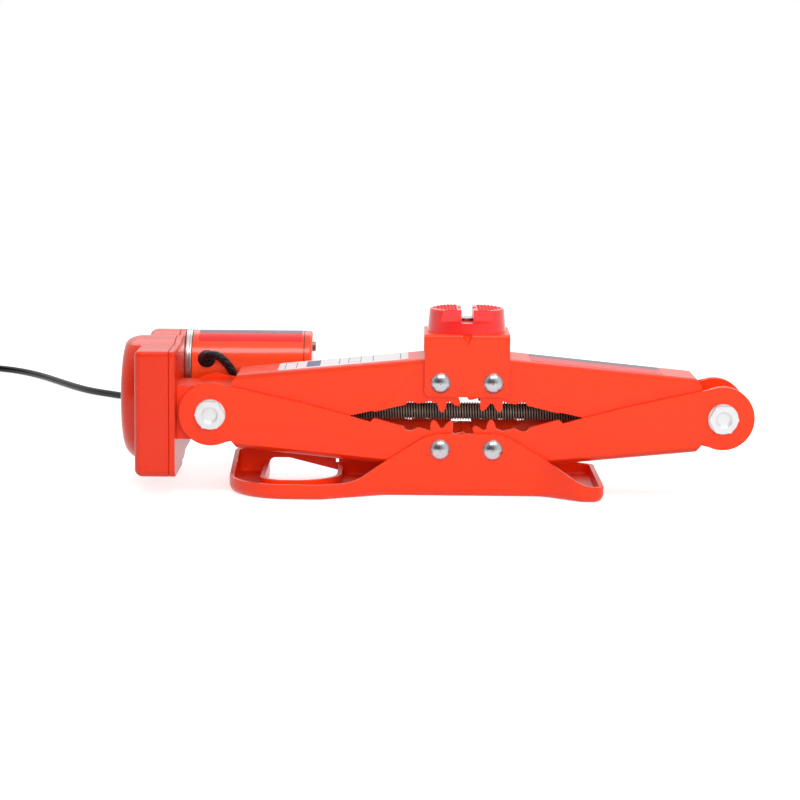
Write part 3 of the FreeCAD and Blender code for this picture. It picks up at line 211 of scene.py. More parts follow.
# Painted die-cast aluminium: the same red, darkened a little as painted shade, and a touch smoother
cast_red = paint("painted_die_casting", "#e5320e", "#e02f0d", roughness=0.28, peel=0.05, coat=0.1)
# Lacquered motor can: a rolled tube, warmer and glossier
motor_red = paint("lacquered_motor_can", "#f04416", "#ec4013", roughness=0.24, peel=0.04, coat=0.4)
# Enamelled cast saddle: a pinker red, with thicker paint
saddle_red = paint("enamelled_casting", "#ee2826", "#ea2422", roughness=0.22, peel=0.05, coat=0.4)
# The same enamel on the saddle's knurl, rubbed dull
knurl_red = paint("rubbed_enamel", "#ea2422", "#e02020", roughness=0.5, peel=0.05, coat=0.0)
# Bright zinc on rivets and screws: polished, with faint die marks
bright_zinc = metal("bright_zinc_plate", "#c0c2c6", "#b3b6bb", roughness=0.26, grain=0.5, stretch=EVEN,
                    depth=0.05)
# Matt zinc on the dished hinge bolts: nearly white, with a soft shine
matt_zinc = metal("matt_zinc_plate", "#e9e9ea", "#dedfe1", roughness=0.4, grain=0.5, stretch=EVEN, depth=0.05,
                  bare=0.55)
# Turned steel flange: satin, with fine marks
turned_steel = metal("turned_steel", "#d6d4d2", "#c4c2c1", roughness=0.3, grain=0.25, stretch=EVEN, depth=0.1)
# Black oxide steel, oiled: a dull brown skin that hides part of the metal, its colour lifted well above black
# oxide as painted light, standing in for light that hardly reaches the enclosed screw
oiled_steel = metal("black_oxide_steel", "#a39285", "#7f7168", roughness=0.34, grain=0.4, stretch=LENGTHWISE,
                    depth=0.1, bare=0.7)
# Cut gear steel with a film of grease
gear_steel = metal("cut_gear_steel", "#8d8983", "#6f6a62", roughness=0.38, grain=0.3, stretch=EVEN, depth=0.1)
# Sintered bronze bushes: yellow and porous
bush_bronze = metal("sintered_bronze", "#b58a4c", "#96703b", roughness=0.42, grain=0.3, stretch=EVEN,
                    depth=0.15)
# Sintered ferrite magnets: dark and dull
ferrite = moulded("sintered_ferrite", "#35353a", "#2b2b2f", roughness=0.6, grain=0.3, depth=0.2)
# Extruded rubber cord sheath: black, slightly shiny
cord_rubber = moulded("extruded_rubber", "#100e11", "#161418", roughness=0.4, grain=0.4, depth=0.06)
# The motor's lead: the same rubber, tight over its twisted cores
twisted_rubber = twisted("twisted_cord_rubber", "#100e11", "#1a181c", roughness=0.42, cores=3, turns=3.6,
                         depth=0.5)
# Moulded nylon plug and tie: black, fine spark grain
black_nylon = moulded("moulded_nylon", "#1d1d1f", "#28282a", roughness=0.5, grain=0.5, depth=0.25)

# Blank printed vinyl: smooth, faintly dimpled where it was rubbed down
white_vinyl = moulded("white_vinyl", "#f4f1f1", "#ebe8e9", roughness=0.4, grain=3.0, depth=0.05)
grey_vinyl = moulded("grey_vinyl", "#6f6c7b", "#62606e", roughness=0.4, grain=3.0, depth=0.05)
red_vinyl = moulded("red_vinyl", "#ea2a2a", "#e42626", roughness=0.36, grain=3.0, depth=0.05)
# Printed lines: flat ink, a little rough
slate_ink = moulded("slate_ink", "#5a658c", "#525c80", roughness=0.45, grain=0.5, depth=0.05)
# Painted shade in the motor's joints: a dark band where the gap is, dull and uneven
joint_gap_painted_shade = moulded("joint_gap_painted_shade", "#3a140d", "#2e100b", roughness=0.55, grain=0.6, depth=0.1)

FINISHES = {
    "red_paint": pressed_red,
    "red_cast": cast_red,
    "red_motor": motor_red,
    "cap_red": saddle_red,
    "bright_steel": bright_zinc,
    "ring_steel": turned_steel,
    "dark_steel": oiled_steel,
    "gear_steel": gear_steel,
    "magnet_iron": ferrite,
    "bush_brass": bush_bronze,
    "black_rubber": cord_rubber,
    "black_plastic": black_nylon,
}


def dress(piece, material):
    piece.data.materials.clear()
    piece.data.materials.append(material)


for part in frame["record"]["subparts"]:
    dress(nodes[part["node"]], FINISHES[part["material_slot"]])
for bolts in ("left_hinge_bolts", "right_hinge_bolts"):
    dress(nodes[bolts], matt_zinc)


# Making pieces

def mesh_object(name, bm):
    """An object from a bmesh in millimetres."""
    bmesh.ops.scale(bm, vec=(MM, MM, MM), verts=bm.verts)
    mesh = bpy.data.meshes.new(name)
    bm.to_mesh(mesh)
    bm.free()
    item = bpy.data.objects.new(name, mesh)
    bpy.context.scene.collection.objects.link(item)
    return item


def make_piece(item, material, body):
    dress(item, material)
    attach(item, body)
    return item


def finish_mesh(name, bm, material, body):
    """Turns a bmesh in millimetres into a piece of the object."""
    bmesh.ops.remove_doubles(bm, verts=bm.verts, dist=0.001)
    bmesh.ops.recalc_face_normals(bm, faces=bm.faces)
    return make_piece(mesh_object(name, bm), material, body)


def node_copy(node):
    """A node's mesh in millimetres, with its triangles joined."""
    bm = bmesh.new()
    bm.from_mesh(nodes[node].data)
    bmesh.ops.scale(bm, vec=(1 / MM, 1 / MM, 1 / MM), verts=bm.verts)
    bmesh.ops.remove_doubles(bm, verts=bm.verts, dist=0.001)
    return bm


def thicken(bm, faces, rise):
    """Makes a solid of flat faces by a rise; returns its upper faces."""
    raised = bmesh.ops.extrude_face_region(bm, geom=faces, use_keep_orig=True)["geom"]
    bmesh.ops.translate(bm, verts=[item for item in raised if isinstance(item, bmesh.types.BMVert)], vec=rise)
    return [item for item in raised if isinstance(item, bmesh.types.BMFace)]


def smooth(piece, degrees=35):
    """Shades smooth over bends flatter than that."""
    piece.data.polygons.foreach_set("use_smooth", [True] * len(piece.data.polygons))
    piece.data.set_sharp_from_angle(angle=math.radians(degrees))


def node_box(node):
    """A node's corners at rest, in millimetres."""
    return [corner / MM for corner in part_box(node)]


# Arms: a higher web on the upper ones, and the inner edges of all walls cut back to the pressings' outline

# The web's top line on the left upper arm, the depth of the bends under it, and where along X it is raised
WEB_RISE = 3.2
WEB_START = Vector((-148.44, 0.0, 74.05 + WEB_RISE))
WEB_END = Vector((-18.92, 0.0, 86.76 + WEB_RISE))
WEB_SLOPE = math.atan2(WEB_END.z - WEB_START.z, WEB_END.x - WEB_START.x)
WEB_BEND = 4.5
WEB_REACH = (12.0, 152.0)
# What is cut from the left arms' walls, seen from the front, and how far the cut reaches to each side
UPPER_CUT = [
    (-64.5, 50.0), (-64.5, 52.8), (-39.2, 58.9), (-38.2, 60.8), (-35.5, 60.9), (-31.0, 59.5), (-31.0, 50.0),
]
LOWER_CUT = [
    (-150.4, 80.0), (-150.4, 71.4), (-62.1, 47.9), (-60.4, 50.6), (-40.8, 45.2), (-39.2, 42.7), (-35.5, 42.3),
    (-31.0, 44.4), (-31.0, 80.0),
]
CUT_REACH = 40.0


def arm_copy(node, rise):
    """An arm's mesh, with its web and the bends beside it raised."""
    bm = node_copy(node)
    bends = WEB_START.z - WEB_RISE - WEB_BEND
    web = [vert for vert in bm.verts if WEB_REACH[0] < abs(vert.co.x) < WEB_REACH[1]
           and vert.co.z > bends + math.tan(WEB_SLOPE) * (-WEB_START.x - abs(vert.co.x))]
    bmesh.ops.translate(bm, verts=web, vec=(0, 0, rise))
    return bm


def trimmed_arm(node, outline, side, rise=0.0):
    """An arm with an outline, seen from the front, cut out of both its walls."""
    bm = bmesh.new()
    front = bm.faces.new([bm.verts.new((-side * x, -CUT_REACH, z)) for x, z in outline])
    thicken(bm, [front], (0, 2 * CUT_REACH, 0))
    bmesh.ops.recalc_face_normals(bm, faces=bm.faces)
    cutter = mesh_object(node + "_cutter", bm)
    arm = mesh_object(node + "_pressing", arm_copy(node, rise))
    cut = arm.modifiers.new("cut", "BOOLEAN")
    cut.object = cutter
    cut.solver = "EXACT"
    mesh = bpy.data.meshes.new_from_object(arm.evaluated_get(bpy.context.evaluated_depsgraph_get()))
    arm.modifiers.clear()
    arm.data = mesh
    bpy.data.objects.remove(cutter)
    make_piece(arm, pressed_red, node)
    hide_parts(node)
    smooth(arm, 30)


trimmed_arm("upper_left_arm", UPPER_CUT, side=-1, rise=WEB_RISE)
trimmed_arm("upper_right_arm", UPPER_CUT, side=1, rise=WEB_RISE)
trimmed_arm("lower_left_arm", LOWER_CUT, side=-1)
trimmed_arm("lower_right_arm", LOWER_CUT, side=1)


# Gearbox: castings with a flatter crown, and the ring between them and the motor

CROWN_START = 92.5
CROWN_SHARE = 0.53


def low_casting(node):
    """A casting whose top is pressed down towards the start of its crown."""
    bm = node_copy(node)
    bmesh.ops.bisect_plane(bm, geom=bm.verts[:] + bm.edges[:] + bm.faces[:], plane_co=(0, 0, CROWN_START),
                           plane_no=(0, 0, 1))
    bmesh.ops.scale(bm, vec=(1.0, 1.0, CROWN_SHARE), space=Matrix.Translation((0, 0, -CROWN_START)),
                    verts=[vert for vert in bm.verts if vert.co.z > CROWN_START])
    piece = make_piece(mesh_object(node + "_casting", bm), cast_red, "left_trunnion")
    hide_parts(node)
    smooth(piece, 30)


low_casting("gearbox_housing")
low_casting("gearbox_cover")

can_low, can_high = node_box("motor_can")
MOTOR_AXIS = (can_low + can_high) / 2
CAN_RADIUS = (can_high.z - can_low.z) / 2
# How far the ring reaches inside and outside the can's radius
RING_DEPTH = 3.0
RING_RISE = 0.7


def motor_spin(bm, profile, first=0.0, last=360.0, steps=72):
    """Spins a closed profile, of lengths along X and radii, round the motor; angles count from the front."""
    face = bm.faces.new([bm.verts.new((x, MOTOR_AXIS.y, MOTOR_AXIS.z + radius)) for x, radius in profile])
    bmesh.ops.rotate(bm, verts=face.verts, cent=MOTOR_AXIS,
                     matrix=Matrix.Rotation(math.radians(90 - last), 3, "X"))
    whole = last - first == 360.0
    geom = list(face.edges) if whole else [face]
    bmesh.ops.spin(bm, geom=geom, cent=MOTOR_AXIS, axis=(1, 0, 0), angle=math.radians(last - first),
                   steps=steps, use_merge=whole, use_duplicate=False)
    if whole:
        bmesh.ops.delete(bm, geom=[face], context="FACES_ONLY")


def motor_ring():
    """A turned flange with a rolled bead on the motor's side."""
    low, high = node_box("motor_ring")
    bore = CAN_RADIUS - RING_DEPTH
    rim = CAN_RADIUS + RING_RISE
    bead = rim - 0.1
    groove = rim - 0.5
    bm = bmesh.new()
    motor_spin(bm, [
        (low.x, bore), (low.x, groove), (low.x + 0.4, bead), (low.x + 0.9, rim),
        (high.x - 1.6, rim), (high.x - 1.2, groove), (high.x - 0.9, groove),
        (high.x - 0.7, bead), (high.x - 0.3, bead), (high.x, rim - 0.4), (high.x, bore),
    ])
    piece = finish_mesh("motor_ring_turned", bm, turned_steel, "left_trunnion")
    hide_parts("motor_ring")
    smooth(piece, 50)


motor_ring()


# Lead screw: a rolled thread from the collar to the far end

PITCH = 1.75
THREAD_STEPS = 16
CREST = 6.0
ROOT = 4.95
# Shares of the pitch, and radii, of one turn's profile
THREAD = [(0.0, ROOT), (0.16, ROOT), (0.5, CREST), (0.66, CREST), (1.0, ROOT)]
# Depth of the dark band in the roots (grease and painted shade), of the light band on the crests (rubbed
# steel and painted highlight), and of the thread inside the collar
GREASE_AND_SHADE = 0.15
RUBBED_AND_HIGHLIT = 0.1
THREAD_SINK = 1.0
screw_low, screw_high = node_box("lead_screw")
collar_high = node_box("screw_collar")[1]
SCREW_AXIS = Vector((0, 0, (screw_low.z + screw_high.z) / 2))


def thread_wear_and_painted_light(name, crest_hex, root_hex, roughness, bare):
    """Oiled screw steel, lighter towards the crests and darker towards the roots: crests partly rubbed bright
    by the nut and partly a painted highlight, roots partly dark grease and partly painted shade.
    """
    material, tree, shader, place = new_material(name, metallic=bare, roughness=roughness)
    across = add(tree, "ShaderNodeMapping", {"Vector": place, "Location": -SCREW_AXIS * MM,
                                             "Scale": (0.0, 1.0, 1.0)})
    radius = add(tree, "ShaderNodeVectorMath", {0: across.outputs["Vector"]}, operation="LENGTH")
    # Mask by radius from the axis: painted highlight and rubbed band on the crests, painted shade and grease
    # in the roots
    crest_wear_and_highlight = add(tree, "ShaderNodeMapRange", {"Value": radius.outputs["Value"],
                                              "From Min": (ROOT + GREASE_AND_SHADE) * MM,
                                              "From Max": (CREST - RUBBED_AND_HIGHLIT) * MM})
    tone = add(tree, "ShaderNodeMix", {0: crest_wear_and_highlight.outputs["Result"], 6: linear(root_hex),
                                       7: linear(crest_hex)}, data_type="RGBA")
    tree.links.new(tone.outputs[2], shader.inputs["Base Color"])
    return material


def lead_screw():
    """A thread with a turn to spare at each end, cut square, on a plain shank."""
    start, end = collar_high.x - THREAD_SINK, screw_high.x
    turns = math.ceil((end - start) / PITCH) + 3
    bm = bmesh.new()
    verts = [bm.verts.new((start + (along - 2) * PITCH, 0, SCREW_AXIS.z + radius))
             for along, radius in THREAD]
    edges = [bm.edges.new(pair) for pair in zip(verts, verts[1:])]
    bmesh.ops.spin(bm, geom=verts + edges, cent=SCREW_AXIS, axis=(1, 0, 0), dvec=(PITCH / THREAD_STEPS, 0, 0),
                   angle=TURN * turns, steps=THREAD_STEPS * turns, use_duplicate=False)
    bmesh.ops.remove_doubles(bm, verts=bm.verts, dist=0.001)
    for x, side in ((start, -1), (end, 1)):
        bmesh.ops.bisect_plane(bm, geom=bm.verts[:] + bm.edges[:] + bm.faces[:], plane_co=(x, 0, 0),
                               plane_no=(side, 0, 0), clear_outer=True)
    bmesh.ops.holes_fill(bm, edges=[edge for edge in bm.edges if edge.is_boundary])
    shank = bmesh.ops.create_cone(bm, segments=48, radius1=CREST, radius2=CREST, depth=start - screw_low.x,
                                  cap_ends=True)["verts"]
    bmesh.ops.rotate(bm, verts=shank, matrix=Matrix.Rotation(TURN / 4, 3, "Y"))
    bmesh.ops.translate(bm, verts=shank, vec=((start + screw_low.x) / 2, 0, SCREW_AXIS.z))
    # Crest colour: rubbed steel with a painted highlight; root colour: grease with painted shade
    thread_steel = thread_wear_and_painted_light("thread_steel_wear_and_painted_light", "#cdbeb0", "#2f2723", roughness=0.34, bare=0.45)
    piece = finish_mesh("lead_screw_thread", bm, thread_steel, "screw")
    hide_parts("lead_screw")
    smooth(piece, 30)


lead_screw()


# Cord: the same route as its solids, on one smooth line, with the coil's turns in it

CORD = 5.6
CORD_EXIT = (-172.667, 34.141, 81.577)
CORD_SECOND = (-172.667, 32.274, 82.294)
MOTOR_LEAD = [
    (-172.05, 30.5, 82.98),
    (-170.87, 29.0, 83.55),
    (-169.25, 27.95, 83.95),
    (-167.35, 27.45, 84.15),
    (-165.2, 27.25, 83.75),
    (-162.7, 27.4, 82.5),
    (-160.1, 28.3, 79.9),
    (-156.9, 29.9, 76.0),
    (-153.2, 31.3, 69.3),
    (-150.0, 32.6, 62.2),
    (-147.0, 35.4, 55.6),
]
CORD_SPLIT = (-144.8, 38.6, 49.6)
POWER_CORD = [
    (-142.95, 41.3, 44.57),
    (-141.7, 45.0, 40.2),
    (-141.4, 49.6, 36.2),
    (-141.8, 55.6, 31.6),
    (-142.8, 63.5, 25.6),
    (-144.6, 73.4, 18.2),
    (-147.0, 86.5, 10.4),
    (-149.8, 105.0, 4.6),
    (-152.6, 131.0, 2.8),
    (-157.0, 170.0, 2.8),
    (-166.0, 222.0, 2.8),
    (-183.0, 277.0, 2.8),
    (-207.0, 332.0, 2.8),
    (-236.0, 384.0, 2.8),
    (-258.0, 415.0, 2.8),
    (-281.0, 437.0, 2.8),
    (-303.0, 459.0, 2.8),
    (-321.0, 488.0, 2.8),
    (-341.0, 526.0, 2.8),
    (-361.0, 563.0, 2.8),
    (-384.0, 594.0, 2.8),
    (-410.0, 613.0, 2.8),
]
COIL_MIDDLE = Vector((-447.7, 589.0))
COIL_RADIUS = 31.0
COIL_FLOOR = 4.0
COIL_POINTS = 18
COIL_START = math.radians(64.5)
# Share of a turn that climbs to the next place, and the points of the last part turn
COIL_CLIMB = 0.2
COIL_LEAVE = 6
PLUG_X = -484.3
PLUG_Z = 12.0
PLUG_TAIL = 566.0
PLUG_STRAIGHT = 9.0
# Column and layer of each turn: in at the bottom outside, out at the second layer outside
COIL_TURNS = [
    (1, 0), (0, 0), (-1, 0), (-1, 1), (0, 1), (0, 2), (-1, 2), (-1, 3), (0, 3), (1, 3), (1, 2), (1, 1),
]


def coil_points():
    """Control points of the coil's turns; each turn climbs to the next place at its end."""
    points = []
    last = len(COIL_TURNS) - 1
    for count in range(COIL_POINTS * last + COIL_LEAVE):
        turn, step = divmod(count, COIL_POINTS)
        shift = max(0.0, step - (1 - COIL_CLIMB) * COIL_POINTS) / (COIL_CLIMB * COIL_POINTS)
        places = zip(COIL_TURNS[turn], COIL_TURNS[min(turn + 1, last)])
        column, layer = (here + (there - here) * shift for here, there in places)
        angle = COIL_START + TURN * count / COIL_POINTS
        radius = COIL_RADIUS + column * CORD
        points.append((COIL_MIDDLE.x + radius * math.cos(angle), COIL_MIDDLE.y + radius * math.sin(angle),
                       COIL_FLOOR + layer * CORD))
    return points


def cord_curve(name, points, bevel):
    curve = bpy.data.curves.new(name, "CURVE")
    curve.dimensions = "3D"
    curve.resolution_u = 8
    curve.bevel_depth = bevel
    curve.bevel_resolution = 3
    curve.use_fill_caps = True
    spline = curve.splines.new("NURBS")
    spline.points.add(len(points) - 1)
    for point, place in zip(spline.points, points):
        point.co = [*(Vector(place) * MM), 1.0]
    spline.order_u = 3
    spline.use_endpoint_u = True
    return bpy.data.objects.new(name, curve)


def cord_tube(name, points, material):
    """A tube along a smooth line, and the points of that line."""
    bare = cord_curve(name + "_line", points, 0.0)
    path = [tuple(vert.co) for vert in bpy.data.meshes.new_from_object(bare).vertices]
    mesh = bpy.data.meshes.new_from_object(cord_curve(name + "_round", points, CORD / 2 * MM))
    piece = bpy.data.objects.new(name, mesh)
    bpy.context.scene.collection.objects.link(piece)
    dress(piece, material)
    smooth(piece, 60)
    return piece, path


lead, lead_path = cord_tube("motor_lead_cord", [CORD_EXIT, CORD_SECOND] + MOTOR_LEAD + [CORD_SPLIT],
                            twisted_rubber)
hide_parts("motor_lead")
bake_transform(lead)


# Plug: ribs on its grip, and the two side springs that touch the socket's wall

PLUG_RIBS = [538.0 - 4.0 * count for count in range(6)]
RIB_RADIUS = 0.9
RIB_SINK = 0.4
# The grip's radius at its tail, where that is, and the length over which it grows by a millimetre
GRIP_RADIUS = 11.0
GRIP_TAIL = 546.0
GRIP_TAPER = 62.0
SPRING_MIDDLE = 469.0
SPRING_BEND = 28.6
SPRING_STAND = 11.3
SPRING_ANGLE = 46.0
# Depth and height of the spring strip's corners
SPRING_STRIP = [(0.5, -2.2), (0.0, -1.6), (0.0, 1.6), (0.5, 2.2)]


def plug_ribs():
    """Round ribs about the tapered grip."""
    bm = bmesh.new()
    for y in PLUG_RIBS:
        reach = GRIP_RADIUS + (GRIP_TAIL - y) / GRIP_TAPER
        ring = bmesh.ops.create_circle(bm, segments=8, radius=RIB_RADIUS)["verts"]
        bmesh.ops.rotate(bm, verts=ring, matrix=Matrix.Rotation(TURN / 4, 3, "Y"))
        bmesh.ops.translate(bm, verts=ring, vec=(PLUG_X, y, PLUG_Z + reach - RIB_SINK))
        edges = list({edge for vert in ring for edge in vert.link_edges})
        bmesh.ops.spin(bm, geom=edges, cent=(PLUG_X, y, PLUG_Z), axis=(0, 1, 0), angle=TURN, steps=48,
                       use_merge=True, use_duplicate=False)
    piece = finish_mesh("plug_grip_ribs", bm, black_nylon, "base")
    smooth(piece, 50)
    return piece


def plug_springs():
    """Two bowed strips, one on each side of the nose."""
    bm = bmesh.new()
    bow = math.radians(SPRING_ANGLE)
    for side in (-1, 1):
        middle = Vector((PLUG_X + side * (SPRING_STAND - SPRING_BEND), SPRING_MIDDLE, PLUG_Z))
        strip = bm.faces.new([bm.verts.new(middle + Vector((side * (SPRING_BEND - inward), 0, up)))
                              for inward, up in SPRING_STRIP])
        bmesh.ops.rotate(bm, verts=strip.verts, cent=middle, matrix=Matrix.Rotation(-bow / 2, 3, "Z"))
        bmesh.ops.spin(bm, geom=[strip], cent=middle, axis=(0, 0, 1), angle=bow, steps=16,
                       use_duplicate=False)
    piece = finish_mesh("plug_springs", bm, bright_zinc, "base")
    smooth(piece, 40)
    return piece


plug_run = [(PLUG_X, PLUG_TAIL + PLUG_STRAIGHT, PLUG_Z), (PLUG_X, PLUG_TAIL, PLUG_Z)]
cord, cord_points = cord_tube("power_cord_run", [CORD_SPLIT] + POWER_CORD + coil_points() + plug_run,
                              cord_rubber)
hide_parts("power_cord", "cord_coil", "plug_lead")
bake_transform(cord)
plug_ribs()
plug_springs()


# Saddle cap: small pyramids on both halves of its top

KNURL_PITCH = 2.2
KNURL_HEIGHT = 0.6
KNURL_ROWS = 22
KNURL_REACH = 22.3
KNURL_WIDTH = 17.9
KNURL_SLOT = 4.6


def cap_knurl():
    top = node_box("saddle_cap")[1].z
    bm = bmesh.new()
    bmesh.ops.create_grid(bm, x_segments=KNURL_ROWS, y_segments=KNURL_ROWS, size=KNURL_ROWS * KNURL_PITCH / 2)
    bmesh.ops.delete(bm, context="FACES", geom=[
        face for face in bm.faces
        if any(vert.co.length > KNURL_REACH or abs(vert.co.y) > KNURL_WIDTH or abs(vert.co.x) < KNURL_SLOT
               for vert in face.verts)])
    bmesh.ops.translate(bm, verts=bm.verts, vec=(0, 0, top - KNURL_HEIGHT))
    tops = thicken(bm, bm.faces[:], (0, 0, KNURL_HEIGHT))
    bmesh.ops.poke(bm, faces=tops, offset=KNURL_HEIGHT)
    finish_mesh("saddle_cap_knurl", bm, knurl_red, "saddle")


cap_knurl()


# Label places: blank panels on the upper arms' webs, and blank bands round the motor

PANEL = 0.15
PRINT = 0.04
PRINT_LINES = (30.5, 38.0, 66.0, 72.0, 80.0, 88.0, 106.0)
PRINT_BARS = (-9.0, 9.0)


def panel(bm, along, across, length, width, corner, low=0.0, high=PANEL):
    """Adds a flat panel with rounded corners; along is from the web's outer end, across from its middle."""
    others = set(bm.verts)
    sheet = bmesh.ops.create_grid(bm, x_segments=1, y_segments=1, size=0.5)["verts"]
    bmesh.ops.scale(bm, vec=(length, width, 1.0), verts=sheet)
    bmesh.ops.bevel(bm, geom=sheet, offset=corner, affect="VERTICES", segments=5, profile=0.5, material=-1)
    thicken(bm, [face for face in bm.faces if not others & set(face.verts)], (0, 0, high - low))
    bmesh.ops.translate(bm, verts=[vert for vert in bm.verts if vert not in others], vec=(along, across, low))


def lay_on_web(name, bm, material, side):
    """Puts flat panels on the web of the upper arm on that side."""
    bmesh.ops.rotate(bm, verts=bm.verts, matrix=Matrix.Rotation(-WEB_SLOPE, 3, "Y"))
    bmesh.ops.translate(bm, verts=bm.verts, vec=WEB_START)
    bmesh.ops.scale(bm, vec=(-side, 1.0, 1.0), verts=bm.verts)
    finish_mesh(name, bm, material, "upper_right_arm" if side > 0 else "upper_left_arm")


def arm_labels():
    """A white panel with plain lines on the left arm, a grey and a red one on the right arm."""
    bm = bmesh.new()
    panel(bm, along=68.6, across=0.0, length=85.0, width=38.0, corner=3.0)
    lay_on_web("left_label_panel", bm, white_vinyl, -1)
    bm = bmesh.new()
    ink = {"low": PANEL, "high": PANEL + PRINT}
    for along in PRINT_LINES:
        panel(bm, along, across=0.0, length=0.5, width=30.0, corner=0.2, **ink)
    for across in PRINT_BARS:
        panel(bm, along=76.0, across=across, length=7.0, width=0.5, corner=0.2, **ink)
    panel(bm, along=49.0, across=0.0, length=9.0, width=30.0, corner=0.5, **ink)
    lay_on_web("left_label_print", bm, slate_ink, -1)
    bm = bmesh.new()
    panel(bm, along=64.5, across=12.0, length=86.0, width=14.0, corner=1.0)
    lay_on_web("right_label_band", bm, grey_vinyl, 1)
    bm = bmesh.new()
    panel(bm, along=64.5, across=-7.3, length=86.0, width=24.0, corner=1.0)
    lay_on_web("right_label_panel", bm, red_vinyl, 1)


# Bare can beside the motor's labels at its left and right end, and the section of the dark bands of painted
# shade at the joints
CAN_LEFT = 4.5
CAN_RIGHT = 1.6
SEAM_WIDTH = 0.5
SEAM_SINK = 0.4
SEAM_RISE = 0.04


def motor_label(name, first, last, material):
    """A blank printed band on the motor can."""
    left, right = can_low.x + CAN_LEFT, can_high.x - CAN_RIGHT
    low, top = CAN_RADIUS - PANEL, CAN_RADIUS + PANEL
    bm = bmesh.new()
    motor_spin(bm, [(left, low), (left, top), (right, top), (right, low)], first, last, steps=24)
    smooth(finish_mesh(name, bm, material, "left_trunnion"), 30)


def motor_seam(name, start):
    """The joint at an end of the motor can, as a dark band of painted shade."""
    end = start + SEAM_WIDTH
    low, top = CAN_RADIUS - SEAM_SINK, CAN_RADIUS + SEAM_RISE
    bm = bmesh.new()
    motor_spin(bm, [(start, low), (start, top), (end, top), (end, low)])
    smooth(finish_mesh(name, bm, joint_gap_painted_shade, "left_trunnion"), 30)


arm_labels()
motor_label("motor_label_band", first=74.0, last=135.0, material=grey_vinyl)
motor_label("motor_label_panel", first=52.0, last=73.5, material=red_vinyl)
# Dark bands of painted shade at the can's two joints
motor_seam("motor_seam_left", can_low.x)
motor_seam("motor_seam_right", can_high.x - SEAM_WIDTH / 2)


# Slotted screws: through bolts on the motor's end, and those in the gearbox's wells

# Shares of a screw head's height and radius
HEAD_ROUND = 0.25
SLOT_DEPTH = 0.4
SLOT_HALF = 0.16


def slotted_screw(bm, place, facing, head_radius, head_height, shank_radius, length):
    """Adds a screw along X, with its head's face at place and looking towards facing."""
    others = set(bm.verts)
    half_slot = head_radius * SLOT_HALF
    bmesh.ops.create_cone(bm, segments=32, radius1=head_radius, radius2=head_radius, depth=head_height,
                          cap_ends=True)
    fresh = [vert for vert in bm.verts if vert not in others]
    rim = [edge for edge in bm.edges if all(vert in fresh and vert.co.z > 0 for vert in edge.verts)]
    bmesh.ops.bevel(bm, geom=rim, offset=head_height * HEAD_ROUND, affect="EDGES", segments=3, profile=0.5,
                    material=-1)
    for side in (-1, 1):
        head = [face for face in bm.faces if not others & set(face.verts)]
        edges = list({edge for face in head for edge in face.edges})
        verts = list({vert for face in head for vert in face.verts})
        bmesh.ops.bisect_plane(bm, geom=head + edges + verts, plane_co=(0, side * half_slot, 0),
                               plane_no=(0, 1, 0))
    top = head_height / 2 - 0.001
    slot = [face for face in bm.faces if not others & set(face.verts)
            and all(vert.co.z > top for vert in face.verts) and abs(face.calc_center_median().y) < half_slot]
    # Known fault: with no edges given, this keeps the faces over the slot, so the slot doesn't show
    cut = bmesh.ops.extrude_face_region(bm, geom=slot)["geom"]
    bmesh.ops.translate(bm, verts=[item for item in cut if isinstance(item, bmesh.types.BMVert)],
                        vec=(0, 0, -head_height * SLOT_DEPTH))
    shank = bmesh.ops.create_cone(bm, segments=24, radius1=shank_radius, radius2=shank_radius, depth=length,
                                  cap_ends=True)["verts"]
    bmesh.ops.translate(bm, verts=shank, vec=(0, 0, -(head_height + length) / 2))
    fresh = [vert for vert in bm.verts if vert not in others]
    bmesh.ops.translate(bm, verts=fresh, vec=(0, 0, -head_height / 2))
    bmesh.ops.rotate(bm, verts=fresh, matrix=Matrix.Rotation(facing * TURN / 4, 3, "Y"))
    bmesh.ops.translate(bm, verts=fresh, vec=place)


BOLT_CIRCLE = 15.5
BOLT_HEAD = 2.0
# Face, and middle across and up, of the four screws in the gearbox's wells
COVER_SCREWS = [
    (-213.37, -29.0, 19.6),
    (-213.37, -29.0, 86.5),
    (-211.37, 79.216, 31.0),
    (-211.37, 76.716, 88.184),
]


def through_bolts():
    """The two bolts that hold the motor together, on its end cap."""
    bm = bmesh.new()
    face = node_box("motor_end_cap")[1].x + BOLT_HEAD
    for rise in (-BOLT_CIRCLE, BOLT_CIRCLE):
        slotted_screw(bm, (face, MOTOR_AXIS.y, MOTOR_AXIS.z + rise), facing=1, head_radius=3.3,
                      head_height=BOLT_HEAD, shank_radius=1.9, length=3.0)
    smooth(finish_mesh("motor_through_bolts", bm, oiled_steel, "left_trunnion"), 35)


def cover_screws():
    """The screws of the gearbox's cover, with rounder heads than in the solids."""
    bm = bmesh.new()
    for place in COVER_SCREWS:
        slotted_screw(bm, place, facing=-1, head_radius=3.75, head_height=3.0, shank_radius=2.0, length=19.0)
    piece = finish_mesh("gearbox_slotted_screws", bm, bright_zinc, "left_trunnion")
    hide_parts("gearbox_screws")
    smooth(piece, 35)


through_bolts()
cover_screws()


# Floor, backdrop and light: a white studio

